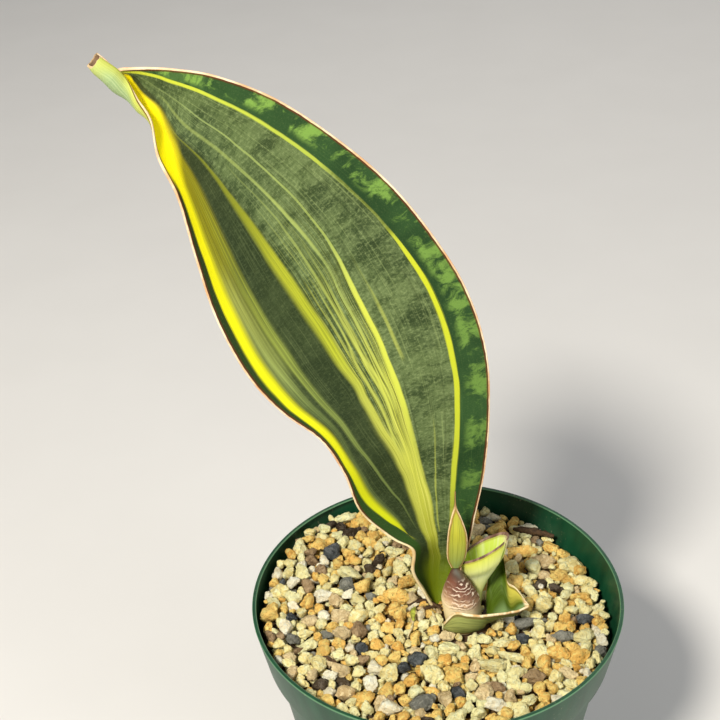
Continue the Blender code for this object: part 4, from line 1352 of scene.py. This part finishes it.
# Bits in the grit: radius, kind and the points they run through, in millimetres above the rim plane
BITS = (
    (1.5, "bark", ((37, 49, -8), (45, 46, -7), (54, 43, -8))),
    (0.8, "bark", ((-12, 2, -8), (-5, 4, -7), (2, 0, -8))),
    (0.7, "bark", ((-8, -1, -9), (-3, 1, -8), (3, 3, -9))),
    (0.7, "bark", ((-48, -27, -7), (-45, -28, -6), (-41, -30, -7))),
    (0.5, "bark", ((-24, 38, -7), (-20, 36, -6), (-17, 33, -8))),
    (1.0, "white", ((43, 11, -8), (45, 10, -8))),
    (0.9, "sprig", ((-9, 0, -7), (-10, -4, -6), (-10, -8, -7))),
    (0.4, "straw", ((-10, -8, -7), (-11, -12, -7), (-13, -17, -8))),
    (0.5, "straw", ((-2, -3, -7), (-1, -9, -7))),
    (0.5, "straw", ((-3, 37, -7), (0, 34, -6), (3, 32, -7))),
    (1.0, "rust", ((0, 34, -8), (3, 33, -7), (5, 32, -8))),
    (1.1, "bark", ((5, 31, -8), (8, 29, -8))),
)
BIT_COLOURS = {
    "bark": (84, 62, 40), "white": (236, 228, 206), "sprig": (178, 184, 70), "straw": (226, 212, 164),
    "rust": (200, 110, 40),
}


def bit_material(kind):
    g = Graph(kind + "_bit", 0.75, 0.25)
    rough = g.noise(g.object_place(), 800, 4, 0.65)
    colour = linear(BIT_COLOURS[kind])
    deep = tuple(value * 0.45 for value in colour)
    return g.finish(g.mix(g.step(rough, 0.35, 0.65), deep, colour), rough, 0.0006, 0.8)


def make_bits():
    """Bark, straw and fibre that lie among the stones."""
    draw = np.random.default_rng(SEED + 1)
    grid = (BIT_SECTIONS, BIT_SIDES)
    angle = np.arange(BIT_SIDES) * math.tau / BIT_SIDES
    taper = np.sin(math.pi * np.linspace(0.03, 0.97, BIT_SECTIONS))[:, None] ** 0.35
    for kind in BIT_COLOURS:
        points = []
        faces = []
        for radius, own, path in BITS:
            if own != kind:
                continue
            line = through(path, np.linspace(0, len(path) - 1, BIT_SECTIONS))
            forward = unit(np.gradient(line, axis=0))
            across = unit(np.cross(forward, (0.0, 0.0, 1.0)))
            above = np.cross(across, forward)
            size = radius * taper * (1 + 0.3 * draw.uniform(-1, 1, grid))
            ring = across[:, None] * (size * np.cos(angle))[..., None]
            ring = ring + above[:, None] * (size * np.sin(angle))[..., None]
            index = np.arange(size.size).reshape(grid) + len(points) * size.size
            after = np.roll(index, -1, axis=1)
            faces += np.stack([index[:-1], after[:-1], after[1:], index[1:]], -1).reshape(-1, 4).tolist()
            faces += [index[0, ::-1].tolist(), index[-1].tolist()]
            points.append((line[:, None] + ring).reshape(-1, 3))
        points = above_rim(np.concatenate(points))
        bit = add_mesh(kind + "_bits", points, faces, bit_material(kind), BLADE_SHARP)
        dress(bit, "substrate")


# Setting

def make_floor():
    g = Graph("pale_floor", 0.8, 0.2)
    fleck = g.noise(g.object_place(), 14, 4)
    g.feed(g.shader.inputs["Base Color"], g.mix(fleck, (0.72, 0.70, 0.67), (0.76, 0.74, 0.71)))
    corners = [(x, y, 0) for x, y in ((-1, -1), (1, -1), (1, 1), (-1, 1))]
    add_mesh("floor", FLOOR_HALF * np.array(corners), [(0, 1, 2, 3)], g.material)


def add_light(name, place, size, power, colour):
    light = bpy.data.lights.new(name, "AREA")
    light.shape = "DISK"
    light.size = size
    light.energy = power
    light.color = colour
    added = bpy.data.objects.new(name, light)
    added.location = place
    added.rotation_euler = (Vector((0, 0, RIM)) - Vector(place)).to_track_quat("-Z", "Y").to_euler()
    bpy.context.scene.collection.objects.link(added)


def make_setting():
    make_floor()
    for light in LIGHTS:
        add_light(*light)
    world = bpy.data.worlds.new("studio")
    bpy.context.scene.world = world
    world.use_nodes = True
    background = world.node_tree.nodes["Background"]
    background.inputs["Color"].default_value = WORLD_COLOUR
    background.inputs["Strength"].default_value = WORLD_STRENGTH
    bpy.context.scene.view_settings.view_transform = "Standard"


def make_camera():
    pitch = math.radians(CAMERA_PITCH)
    roll = math.radians(CAMERA_ROLL)
    forward = Vector((0, math.cos(pitch), -math.sin(pitch)))
    level_up = Vector((0, math.sin(pitch), math.cos(pitch)))
    level_right = Vector((1, 0, 0))
    right = level_right * math.cos(roll) - level_up * math.sin(roll)
    up = level_right * math.sin(roll) + level_up * math.cos(roll)
    data = bpy.data.cameras.new("camera")
    data.lens = CAMERA_LENS
    data.sensor_width = CAMERA_SENSOR
    data.clip_start = 0.01
    camera = bpy.data.objects.new("camera", data)
    turn = Matrix((right, up, -forward)).transposed().to_4x4()
    camera.matrix_world = Matrix.Translation(above_rim(CAMERA_PLACE)) @ turn
    bpy.context.scene.collection.objects.link(camera)
    bpy.context.scene.camera = camera


make_camera()
make_setting()
make_pot()
make_bed()
plant = [make_main_leaf(), make_cataphyll(), make_rolled_leaf(), make_lower_sheath(), make_rhizome()]
make_stones(plant)
make_bits()
